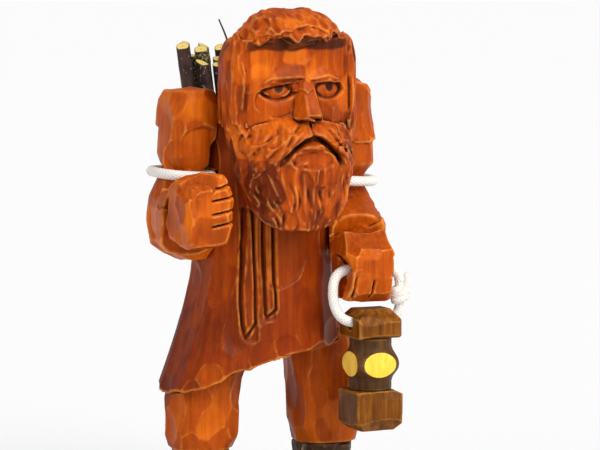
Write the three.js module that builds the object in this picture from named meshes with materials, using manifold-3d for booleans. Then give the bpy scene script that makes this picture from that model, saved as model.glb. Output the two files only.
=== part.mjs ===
// Carved wooden dwarf with a bundle of twigs tied on its back and a lantern hung from its left hand.
// Millimetres, +Z up. The figure faces -Y, its left hand is at +X,
// and the origin is the middle of the plinth's underside.
import * as THREE from "three";
import { mergeVertices } from "three/addons/utils/BufferGeometryUtils.js";
import Module from "manifold-3d";

const wasm = await Module();
wasm.setup();

// Fits
const GLUE_GAP = 0.3;
const CORD_SLACK = 0.45;

// Plinth, a rectangle with cut corners and a chamfered top edge
const PLINTH_WIDTH = 150;
const PLINTH_DEPTH = 116;
const PLINTH_HEIGHT = 20;
const PLINTH_CORNER = 22;
const PLINTH_CHAMFER = 4;

// Legs and boots
const RIGHT_LEG_X = -36;
const LEFT_LEG_X = 35;
const LEG_Y = 3;
const RIGHT_LEG_BOW = 7;
const LEFT_LEG_BOW = 11;
const BOOT_WIDTH = 37;
const BOOT_TOE = 50;
const BOOT_HEEL = 24;
const BOOT_HEIGHT = 46;
const BOOT_SHAFT_DEPTH = 41;
const SOLE_THICKNESS = 6;
const SOLE_EDGE = 1.5;
const TOE_OUT = 8;
const TROUSER_WIDTH = 50;
const TROUSER_DEPTH = 45;
const TROUSER_ANKLE = 42;

// Coat, flared to a hem that rises towards the figure's left
const HEM_HEIGHT = 122;
const HEM_RISE = 0.24;
const HEM_ARCH = 7;
const HEM_WIDTH = 121;
const HEM_DEPTH = 86;
const HEM_SHIFT = -10.5;
const FLARE_SHARE = 0.62;
const FLARE_CURVE = 2.2;
const COAT_TOP = 297;
const COAT_Y = -0.5;
const CHEST_WIDTH = 86;
const CHEST_DEPTH = 75;
const NECK_WIDTH = 66;
const NECK_DEPTH = 54;
const RIBBON_WIDTH = 8;
const RIBBON_RELIEF = 1.6;
const RIBBON_TOP = 226;
const LONG_RIBBON_X = -26;
const LONG_RIBBON_END = 142;
const SHORT_RIBBON_X = -12;
const SHORT_RIBBON_END = 155;

// Head, from the tip of the beard to the crown
const BEARD_TIP = 214;
const HEAD_HEIGHT = 144;
const HEAD_WIDTH = 81;
const HEAD_DEPTH = 82;
const HEAD_Y = -32;
const FACE_FRONT = -62;
const FACE_WIDTH = 69;
const FRINGE_HEIGHT = 332;
const BROW_HEIGHT = 312;
const EYE_HEIGHT = 305;
const EYE_SPACING = 36;
const EYE_RADIUS = 7.5;
const NOSE_BASE = 285;
const NOSE_WIDTH = 25;
const NOSE_REACH = 18;
const MOUTH_HEIGHT = 263;
const MOUTH_WIDTH = 30;
const BEARD_LOCKS = 9;
const LOCK_GROOVE = 1.6;

// Arms, given by the shoulder top, the strap's height and the elbow
const SHOULDER_RIGHT_TOP = 305;
const SHOULDER_LEFT_TOP = 308;
const RIGHT_ARM_OUTER = -75;
const LEFT_ARM_OUTER = 79;
const RIGHT_SHOULDER_SWELL = 0;
const LEFT_SHOULDER_SWELL = 3;
const RIGHT_ELBOW = 191;
const LEFT_ELBOW = 199;
const ARM_INNER = 34;
const ARM_FRONT = -23;
const ARM_BACK = 27;
const STRAP_NECKING = 5;
const CUFF_Y = -27;
const CUFF_WIDTH = 43;
const CUFF_HEIGHT = 48;

// Fists
const RIGHT_FIST_X = -65;
const RIGHT_FIST_Z = 227;
const RIGHT_FIST_WIDTH = 39;
const RIGHT_FIST_HEIGHT = 47;
const RIGHT_FIST_FRONT = -66;
const FINGER_PITCH = 8.2;
const FINGER_GROOVE = 1.8;
const FINGER_DEPTH = 2.6;
const LEFT_FIST_X = 47.5;
const LEFT_FIST_WIDTH = 35;
const LEFT_FIST_DROP = 22;
const LEFT_FIST_REACH = 17;
const LEFT_FINGER_PITCH = 13.2;
const LEFT_FINGER_START = -10;

// Cords and lantern; the lantern's cord runs through the left fist and the lantern's cap
const CORD_DIAMETER = 7;
const STRAP_STEPS = 54;
const LANTERN_CORD_STEPS = 30;
const FIST_MOUTH = 4.6;
const CAP_MOUTH = 2;
const CORD_MOUTH_DEPTH = 9;
const CORD_STAND_OFF = 4.6;
const CORD_BEND = 6;
const FIST_HOLE_Y = -57;
const FIST_HOLE_Z = 187;
const LANTERN_X = 52;
const LANTERN_BOTTOM = 81;
const LANTERN_BASE_WIDTH = 34;
const LANTERN_BASE_HEIGHT = 26.5;
const LANTERN_BASE_CHAMFER = 5;
const LANTERN_EDGE = 1;
const LIGHT_HEIGHT = 34;
const LIGHT_RADIUS = 20;
const LIGHT_NECK_RADIUS = 14;
const LIGHT_BULGE = 23;
const LIGHT_FLATS = 30;
const LIGHT_STEPS = 8;
const LIGHT_SIDES = 20;
const CAP_WIDTH = 33;
const CAP_DEPTH = 32;
const CAP_HEIGHT = 19;
const CAP_WALL = 12;
const CAP_TOP_WIDTH = 22;
const CAP_TOP_DEPTH = 17;
const CAP_BORE_RISE = 10;
const KNOT_RADIUS = 6.5;
const KNOT_FLATNESS = 0.9;
const STRAP_HEIGHT = 245;
const STRAP_TILT = -0.066;

// Twigs
const TWIG_DIAMETERS = [14, 10.5, 12, 9, 13, 8, 11, 10, 7.5, 12.5, 9, 8.5, 6.5, 11.5, 7, 9.5, 5, 4];
const BUNDLE_X = 7;
const BUNDLE_WIDTH = 68;
const BUNDLE_ROUNDING = 0.5;
const BUNDLE_BOTTOM = 196;
const BUNDLE_TOP = 322;
const BUNDLE_RAGGED = 7;
const BUNDLE_LEAN_X = -0.1;
const BUNDLE_LEAN_Y = 0.05;
const BUNDLE_FAN = 0.0006;
const TWIG_TAPER = 0.9;
const TWIG_CUT_SLANT = 0.3;
const TWIG_CUT_LEAN = 0.4;
const TWIG_SIDES = 8;

// Dowels
const NECK_DOWEL_RADIUS = 6;
const NECK_DOWEL_DEPTH = 28;
const NECK_DOWEL_Y = -14;
const SHOULDER_DOWEL_RADIUS = 5;
const SHOULDER_DOWEL_DEPTH = 17;
const SHOULDER_DOWEL_Z = 280;
const WRIST_DOWEL_RADIUS = 3.5;
const WRIST_DOWEL_DEPTH = 14;
const LEG_DOWEL_RADIUS = 5;
const LEG_DOWEL_DEPTH = 14;
const LEG_DOWEL_RISE = 24;
const LANTERN_DOWEL_RADIUS = 4;
const LANTERN_DOWEL_DEPTH = 18;
const LANTERN_DOWEL_TOP = 5;

// Finishes
const stainedWood = new THREE.MeshStandardMaterial({ color: 0xb4551a, roughness: 0.42 });
const darkWood = new THREE.MeshStandardMaterial({ color: 0x4a2d1c, roughness: 0.5 });
const lanternWood = new THREE.MeshStandardMaterial({ color: 0x7a4a1e, roughness: 0.5 });
const paintedLight = new THREE.MeshStandardMaterial({ color: 0x8a5a24, roughness: 0.5 });
const cottonCord = new THREE.MeshStandardMaterial({ color: 0xece7da, roughness: 0.9 });
const twigBark = new THREE.MeshStandardMaterial({ color: 0x3a221f, roughness: 0.75 });
const rawDowel = new THREE.MeshStandardMaterial({ color: 0xd9b98a, roughness: 0.7 });

// A closed geometry as a solid that can be joined and cut
function solid(geometry) {
  geometry.deleteAttribute("normal");
  geometry.deleteAttribute("uv");
  const merged = mergeVertices(geometry, 1e-4);
  return new wasm.Manifold(
    new wasm.Mesh({
      numProp: 3,
      vertProperties: merged.attributes.position.array,
      triVerts: new Uint32Array(merged.index.array),
    }),
  );
}

// A named piece in its group
function place(group, name, body, material) {
  const { numProp, vertProperties, triVerts } = body.getMesh();
  const geometry = new THREE.BufferGeometry();
  geometry.setAttribute("position", new THREE.BufferAttribute(vertProperties, numProp));
  geometry.setIndex(new THREE.BufferAttribute(triVerts, 1));
  const mesh = new THREE.Mesh(geometry, material);
  mesh.name = name;
  group.add(mesh);
}

// A closed skin over rings of equally many points, the first and last ring capped
function loft(rings) {
  const sides = rings[0].length;
  const middle = (ring) =>
    ring.reduce((sum, point) => sum.add(point), new THREE.Vector3()).divideScalar(sides);
  const points = [...rings.flat(), middle(rings[0]), middle(rings.at(-1))];
  const faces = [];
  for (let side = 0; side < sides; side++) {
    const next = (side + 1) % sides;
    const last = (rings.length - 1) * sides;
    faces.push(points.length - 2, next, side, points.length - 1, last + side, last + next);
    for (let level = 0; level < last; level += sides) {
      const a = level + side;
      const b = level + next;
      faces.push(a, b, b + sides, a, b + sides, a + sides);
    }
  }
  return solid(new THREE.BufferGeometry().setFromPoints(points).setIndex(faces));
}

// A squared ellipse round a middle, along two half axes
function ring(middle, u, v, power, sides) {
  const squared = (value) => Math.sign(value) * Math.abs(value) ** (2 / power);
  return Array.from({ length: sides }, (_, side) => {
    const angle = ((side + 0.5) / sides) * 2 * Math.PI;
    return middle
      .clone()
      .addScaledVector(u, squared(Math.cos(angle)))
      .addScaledVector(v, squared(Math.sin(angle)));
  });
}

// A level ring from its limits in X and Y
function levelRing(z, left, right, front, back, power = 2.8, sides = 16) {
  const middle = new THREE.Vector3((left + right) / 2, (front + back) / 2, z);
  const u = new THREE.Vector3((right - left) / 2, 0, 0);
  const v = new THREE.Vector3(0, (back - front) / 2, 0);
  return ring(middle, u, v, power, sides);
}

// An upright ring that faces the front, from its limits in X and Z
function frontRing(y, left, right, bottom, top, power = 3, sides = 16) {
  const middle = new THREE.Vector3((left + right) / 2, y, (bottom + top) / 2);
  const u = new THREE.Vector3((right - left) / 2, 0, 0);
  const v = new THREE.Vector3(0, 0, (top - bottom) / 2);
  return ring(middle, u, v, power, sides);
}

// A limb along stations of [x, y, z, half width, half height], the width square to a reference axis
function limb(stations, power = 2.6, sides = 14, reference = new THREE.Vector3(0, 0, 1)) {
  const points = stations.map(([x, y, z]) => new THREE.Vector3(x, y, z));
  const rings = stations.map(([, , , wide, high], index) => {
    const before = points[Math.max(index - 1, 0)];
    const after = points[Math.min(index + 1, points.length - 1)];
    const along = after.clone().sub(before).normalize();
    const u = along.clone().cross(reference).normalize();
    const v = along.clone().cross(u);
    return ring(points[index], u.multiplyScalar(wide), v.multiplyScalar(high), power, sides);
  });
  return loft(rings);
}

// A round bar between two points
function bar(from, to, radius, sides = 16) {
  const start = new THREE.Vector3(...from);
  const along = new THREE.Vector3(...to).sub(start);
  const geometry = new THREE.CylinderGeometry(radius, radius, along.length(), sides);
  const turn = new THREE.Quaternion().setFromUnitVectors(
    new THREE.Vector3(0, 1, 0),
    along.clone().normalize(),
  );
  geometry.applyQuaternion(turn);
  geometry.translate(...start.addScaledVector(along, 0.5).toArray());
  return solid(geometry);
}

function block(size, middle) {
  return solid(new THREE.BoxGeometry(...size).translate(...middle));
}

function ellipsoid(middle, radii) {
  return solid(new THREE.SphereGeometry(1, 14, 8).scale(...radii).translate(...middle));
}

// An outline in X and Z, drawn forwards from a plane of constant Y
function frontPanel(outline, y, depth) {
  const geometry = new THREE.ExtrudeGeometry(outline, { depth, bevelEnabled: false });
  const forwards = new THREE.Matrix4().makeBasis(
    new THREE.Vector3(1, 0, 0),
    new THREE.Vector3(0, 0, 1),
    new THREE.Vector3(0, -1, 0),
  );
  return solid(geometry.applyMatrix4(forwards).translate(0, y, 0));
}

// A cord through its points
function cord(points, radius, steps) {
  const path = new THREE.CatmullRomCurve3(points.map((point) => new THREE.Vector3(...point)));
  const sides = 8;
  const section = new THREE.Shape(
    Array.from({ length: sides }, (_, side) => {
      const angle = (side / sides) * 2 * Math.PI;
      return new THREE.Vector2(Math.cos(angle), Math.sin(angle)).multiplyScalar(radius);
    }),
  );
  return solid(new THREE.ExtrudeGeometry(section, { steps, extrudePath: path }));
}

const bootTop = PLINTH_HEIGHT + BOOT_HEIGHT;

// Plinth
function plinthRing(z, inset) {
  const x = PLINTH_WIDTH / 2 - inset;
  const y = PLINTH_DEPTH / 2 - inset;
  const cut = PLINTH_CORNER - inset * (2 - Math.SQRT2);
  const corner = (sx, sy) => [
    new THREE.Vector3(sx * x, sy * (y - cut), z),
    new THREE.Vector3(sx * (x - cut), sy * y, z),
  ];
  return [...corner(1, 1), ...corner(-1, 1).reverse(), ...corner(-1, -1), ...corner(1, -1).reverse()];
}

function legDowel(x, grow) {
  const bottom = PLINTH_HEIGHT - LEG_DOWEL_DEPTH - grow;
  const top = hemHeight(x) + LEG_DOWEL_RISE + grow;
  return bar([x, LEG_Y, bottom], [x, LEG_Y, top], LEG_DOWEL_RADIUS + grow);
}

function plinth() {
  return loft([
    plinthRing(0, 0),
    plinthRing(PLINTH_HEIGHT - PLINTH_CHAMFER, 0),
    plinthRing(PLINTH_HEIGHT, PLINTH_CHAMFER),
  ])
    .subtract(legDowel(RIGHT_LEG_X, GLUE_GAP))
    .subtract(legDowel(LEFT_LEG_X, GLUE_GAP));
}

// Boots, in a frame on the leg's dowel with the sole at zero
function boot(middle) {
  const half = BOOT_WIDTH / 2;
  const shaft = BOOT_SHAFT_DEPTH / 2;
  const level = (z, inset, toe, heel) =>
    levelRing(z, middle + inset - half, middle + half - inset, -toe, heel);
  return loft([
    level(GLUE_GAP, 0, BOOT_TOE, BOOT_HEEL),
    level(SOLE_THICKNESS, 0, BOOT_TOE, BOOT_HEEL),
    level(SOLE_THICKNESS + SOLE_EDGE / 2, SOLE_EDGE, BOOT_TOE - SOLE_EDGE, BOOT_HEEL - SOLE_EDGE),
    level(BOOT_HEIGHT * 0.32, SOLE_EDGE, BOOT_TOE - 2 * SOLE_EDGE, BOOT_HEEL - SOLE_EDGE),
    level(BOOT_HEIGHT * 0.5, 1.2 * SOLE_EDGE, BOOT_TOE * 0.72, BOOT_HEEL - 2 * SOLE_EDGE),
    level(BOOT_HEIGHT * 0.66, 1.6 * SOLE_EDGE, shaft + SOLE_EDGE, shaft),
    level(BOOT_HEIGHT, 0, shaft, shaft),
  ]).subtract(bar([0, 0, -1], [0, 0, BOOT_HEIGHT + 1], LEG_DOWEL_RADIUS + GLUE_GAP));
}

// Trouser legs, bowed outwards and cut to the coat's underside
function trouserLeg(x, bow) {
  const top = hemHeight(x) + HEM_ARCH;
  const level = (share, width, shift) => {
    const middle = x + shift;
    const depth = (TROUSER_DEPTH / TROUSER_WIDTH) * width;
    const bottom = bootTop + GLUE_GAP;
    return levelRing(
      bottom + (top - bottom) * share,
      middle - width / 2,
      middle + width / 2,
      LEG_Y - depth / 2,
      LEG_Y + depth / 2,
      2.5,
    );
  };
  return loft([
    level(0, TROUSER_ANKLE, bow),
    level(0.18, TROUSER_WIDTH * 0.97, bow),
    level(0.5, TROUSER_WIDTH, bow),
    level(0.8, TROUSER_WIDTH * 0.97, bow * 0.6),
    level(1.05, TROUSER_WIDTH * 1.03, 0),
  ])
    .subtract(coatMass(GLUE_GAP))
    .subtract(legDowel(x, GLUE_GAP));
}

// Coat, whose section at each share of its height runs from hem to chest to neck
function hemHeight(x) {
  return HEM_HEIGHT + HEM_RISE * x + HEM_ARCH * Math.cos((x / HEM_WIDTH) * Math.PI);
}

function coatSection(share) {
  const flare = Math.max(0, 1 - share / FLARE_SHARE) ** FLARE_CURVE;
  const slope = Math.max(0, (share - 0.8) / 0.2) ** 2;
  return {
    x: HEM_SHIFT * flare,
    wide: (CHEST_WIDTH + (HEM_WIDTH - CHEST_WIDTH) * flare - (CHEST_WIDTH - NECK_WIDTH) * slope) / 2,
    deep: (CHEST_DEPTH + (HEM_DEPTH - CHEST_DEPTH) * flare - (CHEST_DEPTH - NECK_DEPTH) * slope) / 2,
  };
}

const COAT_POWER = 2.8;

function coatRing(share, grow, lift) {
  const { x, wide, deep } = coatSection(share);
  const height = HEM_HEIGHT + (COAT_TOP - HEM_HEIGHT) * share + lift;
  const points = levelRing(
    height,
    x - wide - grow,
    x + wide + grow,
    COAT_Y - deep - grow,
    COAT_Y + deep + grow,
    COAT_POWER,
    24,
  );
  points.forEach((point) => (point.z += (hemHeight(point.x) - HEM_HEIGHT) * (1 - share) ** 2));
  return points;
}

function coatMass(grow = 0) {
  const shares = [0, 0.08, 0.18, 0.3, 0.42, 0.55, 0.68, 0.8, 0.88, 0.95, 1];
  return loft(
    shares.map((share) => coatRing(share, grow, share === 0 ? -grow : share === 1 ? grow : 0)),
  );
}

function coatBackAt(x, height) {
  const { x: middle, wide, deep } = coatSection((height - HEM_HEIGHT) / (COAT_TOP - HEM_HEIGHT));
  const across = Math.min(Math.abs(x - middle) / wide, 1);
  return COAT_Y + deep * (1 - across ** COAT_POWER) ** (1 / COAT_POWER);
}

// Ribbon ends, cut in relief on the coat's front
function ribbons(relief) {
  const ribbon = (x, end) => {
    const half = RIBBON_WIDTH / 2 + relief - RIBBON_RELIEF;
    const outline = new THREE.Shape();
    outline.moveTo(x - half, RIBBON_TOP);
    outline.lineTo(x - half, end + RIBBON_WIDTH);
    outline.lineTo(x, end);
    outline.lineTo(x + half, end + RIBBON_WIDTH);
    outline.lineTo(x + half, RIBBON_TOP);
    return frontPanel(outline, COAT_Y, HEM_DEPTH);
  };
  return ribbon(LONG_RIBBON_X, LONG_RIBBON_END)
    .add(ribbon(SHORT_RIBBON_X, SHORT_RIBBON_END))
    .intersect(coatMass(relief));
}

function neckDowel(grow) {
  const from = [0, NECK_DOWEL_Y, COAT_TOP - NECK_DOWEL_DEPTH - grow];
  const to = [0, NECK_DOWEL_Y, COAT_TOP + NECK_DOWEL_DEPTH + grow];
  return bar(from, to, NECK_DOWEL_RADIUS + grow);
}

function shoulderDowel(side, grow) {
  const { wide } = coatSection((SHOULDER_DOWEL_Z - HEM_HEIGHT) / (COAT_TOP - HEM_HEIGHT));
  const from = [side * (wide - SHOULDER_DOWEL_DEPTH - grow), ARM_BACK + ARM_FRONT, SHOULDER_DOWEL_Z];
  const to = [side * (wide + SHOULDER_DOWEL_DEPTH + grow), ARM_BACK + ARM_FRONT, SHOULDER_DOWEL_Z];
  return bar(from, to, SHOULDER_DOWEL_RADIUS + grow);
}

// Strap, round both arms and the bundle, with its ends meeting in a knot behind the bundle
function strapHeight(x) {
  return STRAP_HEIGHT + STRAP_TILT * x;
}

const STRAP_ROUTE = [
  [9, 83.5],
  [15.5, 81],
  [21.5, 76],
  [40.6, 48.8],
  [62, 31],
  [72.3, 21.1],
  [76.6, 11],
  [77.8, 1],
  [76.4, -9],
  [72, -17.4],
  [63.5, -22.3],
  [53, -22.9],
  [46.5, -20.8],
  [42.6, -14.5],
  [41, -5],
  [41, 8],
  [40, 19],
  [37, 27],
  [30, 30.8],
  [19, 35.6],
  [0, 38],
  [-20, 36],
  [-30, 31.5],
  [-37, 27],
  [-40, 19],
  [-41, 8],
  [-41, -5],
  [-42.6, -14.5],
  [-46.5, -20.8],
  [-51.5, -22.9],
  [-60, -22.4],
  [-68.3, -17.6],
  [-72.4, -9],
  [-73.8, 1],
  [-72.6, 11],
  [-68.8, 21.1],
  [-34.8, 49.3],
  [-19.4, 78.8],
  [-12, 82],
  [-5, 83.5],
];
// The route was chosen against a coat whose back lies at Y 37; what is behind the arms follows the back
const STRAP_CHOSEN_BACK = 37;
const backShift = COAT_Y + CHEST_DEPTH / 2 - STRAP_CHOSEN_BACK;
const STRAP_POINTS = STRAP_ROUTE.map(([x, y]) => [
  x,
  y > ARM_BACK ? y + backShift : y,
  strapHeight(x),
]);

function strap(grow) {
  return cord(STRAP_POINTS, CORD_DIAMETER / 2 + grow, STRAP_STEPS);
}

function coat() {
  return coatMass()
    .add(ribbons(RIBBON_RELIEF))
    .subtract(strap(CORD_SLACK))
    .subtract(neckDowel(GLUE_GAP))
    .subtract(shoulderDowel(-1, GLUE_GAP))
    .subtract(shoulderDowel(1, GLUE_GAP))
    .subtract(legDowel(RIGHT_LEG_X, GLUE_GAP))
    .subtract(legDowel(LEFT_LEG_X, GLUE_GAP));
}

// Hair and beard as one mass, in shares of the head's height, half width, and depth to front and back
const HAIR_POWER = 2.6;
const HAIR_SECTIONS = [
  [0, 0.42, 0.97, -0.55],
  [0.05, 0.7, 1.04, -0.35],
  [0.13, 0.9, 1.09, -0.1],
  [0.24, 1.03, 1.1, 0.17],
  [0.33, 1.07, 1.08, 0.41],
  [0.43, 1.05, 1.03, 0.63],
  [0.53, 0.98, 0.99, 0.83],
  [0.65, 0.95, 0.98, 0.95],
  [0.75, 1, 1, 0.98],
  [0.84, 0.98, 1, 0.86],
  [0.91, 0.85, 0.9, 0.52],
  [0.965, 0.63, 0.66, 0.22],
  [1, 0.38, 0.36, 0.04],
];

function hairMass(grow = 0) {
  return loft(
    HAIR_SECTIONS.map(([share, width, front, back]) => {
      const wide = (HEAD_WIDTH / 2) * width + grow;
      const lift = share === 0 ? -grow : share === 1 ? grow : 0;
      return levelRing(
        BEARD_TIP + HEAD_HEIGHT * share + lift,
        -wide,
        wide,
        HEAD_Y - (HEAD_DEPTH / 2) * front - grow,
        HEAD_Y + (HEAD_DEPTH / 2) * back + grow,
        HAIR_POWER,
        24,
      );
    }),
  );
}

// A point on the front of that mass, across from -1 to 1
function hairFront(share, across) {
  const above = Math.max(1, HAIR_SECTIONS.findIndex((section) => section[0] >= share));
  const [low, high] = [HAIR_SECTIONS[above - 1], HAIR_SECTIONS[above]];
  const mix = (share - low[0]) / (high[0] - low[0]);
  const [, width, front, back] = low.map((value, column) => value + (high[column] - value) * mix);
  const deep = ((HEAD_DEPTH / 2) * (front + back)) / 2;
  const middle = HEAD_Y + ((HEAD_DEPTH / 2) * (back - front)) / 2;
  return [
    (HEAD_WIDTH / 2) * width * across,
    middle - deep * (1 - Math.abs(across) ** HAIR_POWER) ** (1 / HAIR_POWER),
    BEARD_TIP + HEAD_HEIGHT * share,
  ];
}

// The opening in the hair that the face looks out of
function faceOpening() {
  const half = FACE_WIDTH / 2;
  const outline = new THREE.Shape();
  outline.moveTo(-half, NOSE_BASE - 6);
  outline.lineTo(half, NOSE_BASE - 6);
  outline.lineTo(half + 1, BROW_HEIGHT);
  outline.quadraticCurveTo(half, FRINGE_HEIGHT - 4, half * 0.7, FRINGE_HEIGHT - 1);
  outline.lineTo(half * 0.25, FRINGE_HEIGHT + 2);
  outline.lineTo(-half * 0.2, FRINGE_HEIGHT - 1);
  outline.lineTo(-half * 0.65, FRINGE_HEIGHT + 1);
  outline.quadraticCurveTo(-half, FRINGE_HEIGHT - 4, -half - 1, BROW_HEIGHT);
  return frontPanel(outline, FACE_FRONT + HEAD_DEPTH / 3, HEAD_DEPTH);
}

// Forehead and cheeks with the eye hollows cut in under the brow, then eyeballs, lids and brow
function face() {
  const half = FACE_WIDTH / 2;
  const level = (z, inset, setback) =>
    levelRing(z, inset - half, half - inset, FACE_FRONT + setback, FACE_FRONT + HEAD_DEPTH / 2, 2.6, 20);
  let form = loft([
    level(NOSE_BASE - 12, 0, 0),
    level(NOSE_BASE + 5, 0, 0),
    level(EYE_HEIGHT, 0.5, 1),
    level(BROW_HEIGHT, 0, -2),
    level(BROW_HEIGHT + 5, 0.5, 0),
    level(FRINGE_HEIGHT - 6, 2, 1),
    level(FRINGE_HEIGHT + 6, 4, 3),
  ]);
  for (const side of [-1, 1]) {
    const x = (side * EYE_SPACING) / 2;
    const hollow = ellipsoid(
      [x, FACE_FRONT - 1.5, EYE_HEIGHT - 1],
      [EYE_RADIUS * 1.55, EYE_RADIUS * 0.95, EYE_RADIUS * 0.95],
    );
    const eyeball = ellipsoid(
      [x, FACE_FRONT + EYE_RADIUS * 0.72, EYE_HEIGHT],
      [EYE_RADIUS * 1.2, EYE_RADIUS, EYE_RADIUS * 0.75],
    );
    const lid = limb(
      [
        [x - EYE_RADIUS * 1.3, FACE_FRONT + 2.5, EYE_HEIGHT + 1.5, 2.6, 1.5],
        [x, FACE_FRONT - 1.2, EYE_HEIGHT + 3, 3, 1.8],
        [x + EYE_RADIUS * 1.3, FACE_FRONT + 2.5, EYE_HEIGHT + 1.5, 2.6, 1.5],
      ],
      2,
      10,
    );
    const brow = limb(
      [
        [side * NOSE_WIDTH * 0.1, FACE_FRONT - 3, BROW_HEIGHT - 1, 3.4, 2.6],
        [x, FACE_FRONT - 2.5, BROW_HEIGHT + 0.5, 4, 3],
        [side * half * 0.86, FACE_FRONT + 7, BROW_HEIGHT - 2, 3, 2.2],
      ],
      2.4,
      10,
    );
    form = form.subtract(hollow).add(eyeball).add(lid).add(brow);
  }
  return form.add(nose());
}

function nose() {
  const half = NOSE_WIDTH / 2;
  const level = (z, width, reach) =>
    levelRing(z, -half * width, half * width, FACE_FRONT - NOSE_REACH * reach, FACE_FRONT + 8, 3.2);
  const length = BROW_HEIGHT - NOSE_BASE;
  return loft([
    level(NOSE_BASE, 0.72, 0.8),
    level(NOSE_BASE + length * 0.1, 1, 1),
    level(NOSE_BASE + length * 0.3, 0.92, 0.95),
    level(NOSE_BASE + length * 0.65, 0.55, 0.55),
    level(BROW_HEIGHT + 2, 0.42, 0.15),
  ]);
}

// Moustache, two lobes that arch over the mouth, with the lower lip below
function moustache(side) {
  const y = FACE_FRONT - NOSE_REACH / 2;
  return limb([
    [side * 1, y, NOSE_BASE - 3, 10, 5],
    [side * MOUTH_WIDTH * 0.4, y - 1, NOSE_BASE - 7, 11, 8],
    [side * MOUTH_WIDTH * 0.8, y + 3, NOSE_BASE - 17, 11, 9],
    [side * MOUTH_WIDTH * 1.1, y + 9, NOSE_BASE - 30, 9, 7],
    [side * MOUTH_WIDTH * 1.22, y + 15, NOSE_BASE - 42, 3, 3],
  ]);
}

// Grooves between the locks of the beard, running together towards its tip
function lockGrooves() {
  const cuts = [];
  for (let lock = 0; lock < BEARD_LOCKS; lock++) {
    const across = (2 * lock) / (BEARD_LOCKS - 1) - 1;
    const stations = [0.3, 0.2, 0.1, 0.02].map((share) => {
      const spread = 0.5 + share;
      return [...hairFront(share, across * spread), LOCK_GROOVE, LOCK_GROOVE];
    });
    cuts.push(limb(stations, 2, 6, new THREE.Vector3(0, 1, 0)));
  }
  return cuts;
}

function head() {
  const half = MOUTH_WIDTH / 2;
  const mouthFront = FACE_FRONT - NOSE_REACH * 0.8;
  const mouth = ellipsoid([0, mouthFront - 1, MOUTH_HEIGHT], [half, 8, 7]);
  const lip = limb(
    [
      [-half * 0.75, mouthFront + 4.5, MOUTH_HEIGHT - 5, 2.5, 2],
      [0, mouthFront + 2.5, MOUTH_HEIGHT - 3, 3.5, 2.8],
      [half * 0.75, mouthFront + 4.5, MOUTH_HEIGHT - 5, 2.5, 2],
    ],
    2,
    10,
  );
  let form = hairMass();
  lockGrooves().forEach((groove) => (form = form.subtract(groove)));
  return form
    .subtract(faceOpening())
    .add(face())
    .add(moustache(-1))
    .add(moustache(1))
    .subtract(mouth)
    .add(lip)
    .subtract(coatMass(GLUE_GAP))
    .subtract(ribbons(RIBBON_RELIEF + GLUE_GAP))
    .subtract(strap(CORD_SLACK))
    .subtract(neckDowel(GLUE_GAP));
}

// An upper arm, necked in where the strap goes round it; side is -1 on the right
function upperArm(side, outer, top, elbow, swell, grow) {
  const reach = Math.abs(outer);
  const neck = strapHeight(outer);
  const level = (z, trim, inner = ARM_INNER) => {
    const near = inner - grow;
    const far = reach - trim + grow;
    const left = side < 0 ? -far : near;
    const right = side < 0 ? -near : far;
    return levelRing(z, left, right, ARM_FRONT + trim * 0.8 - grow, ARM_BACK - trim * 0.8 + grow);
  };
  return loft([
    level(elbow - grow, 11, ARM_INNER + 11),
    level(elbow + 10, 0, ARM_INNER + 4),
    level(elbow + 26, -3, ARM_INNER + 2),
    level(neck - 10, 0),
    level(neck - 5, STRAP_NECKING * 0.6),
    level(neck, STRAP_NECKING),
    level(neck + 5, STRAP_NECKING * 0.6),
    level(neck + 11, 1 - swell),
    level((neck + top) / 2, 2 - swell),
    level(top - 8, 5 - swell),
    level(top - 1, 9 - swell, ARM_INNER + 3),
    level(top + grow, 13 - swell, ARM_INNER + 7),
  ]);
}

// Right arm, bent so that the cuff faces the front
function rightSleeveMass(grow = 0) {
  const cuffBottom = RIGHT_FIST_Z - 0.62 * CUFF_HEIGHT;
  const cuffTop = cuffBottom + CUFF_HEIGHT;
  const outer = RIGHT_FIST_X - CUFF_WIDTH / 2;
  const inner = RIGHT_FIST_X + CUFF_WIDTH / 2;
  const forearm = loft([
    frontRing(ARM_BACK / 2, outer + 8, inner, cuffBottom + 6, cuffTop - 6),
    frontRing(ARM_FRONT / 2, outer + 3 - grow, inner + grow, cuffBottom + 1 - grow, cuffTop - 2 + grow),
    frontRing(CUFF_Y - grow, outer - grow, inner + grow, cuffBottom - grow, cuffTop + grow),
  ]);
  const arm = upperArm(
    -1,
    RIGHT_ARM_OUTER,
    SHOULDER_RIGHT_TOP,
    RIGHT_ELBOW,
    RIGHT_SHOULDER_SWELL,
    grow,
  );
  return arm.add(forearm);
}

function rightWristDowel(grow) {
  const from = [RIGHT_FIST_X, CUFF_Y + WRIST_DOWEL_DEPTH + grow, RIGHT_FIST_Z];
  const to = [RIGHT_FIST_X, CUFF_Y - WRIST_DOWEL_DEPTH - grow, RIGHT_FIST_Z];
  return bar(from, to, WRIST_DOWEL_RADIUS + grow);
}

function rightSleeve() {
  return rightSleeveMass()
    .subtract(coatMass(GLUE_GAP))
    .subtract(hairMass(GLUE_GAP))
    .subtract(strap(CORD_SLACK))
    .subtract(shoulderDowel(-1, GLUE_GAP))
    .subtract(rightWristDowel(GLUE_GAP));
}

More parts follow.
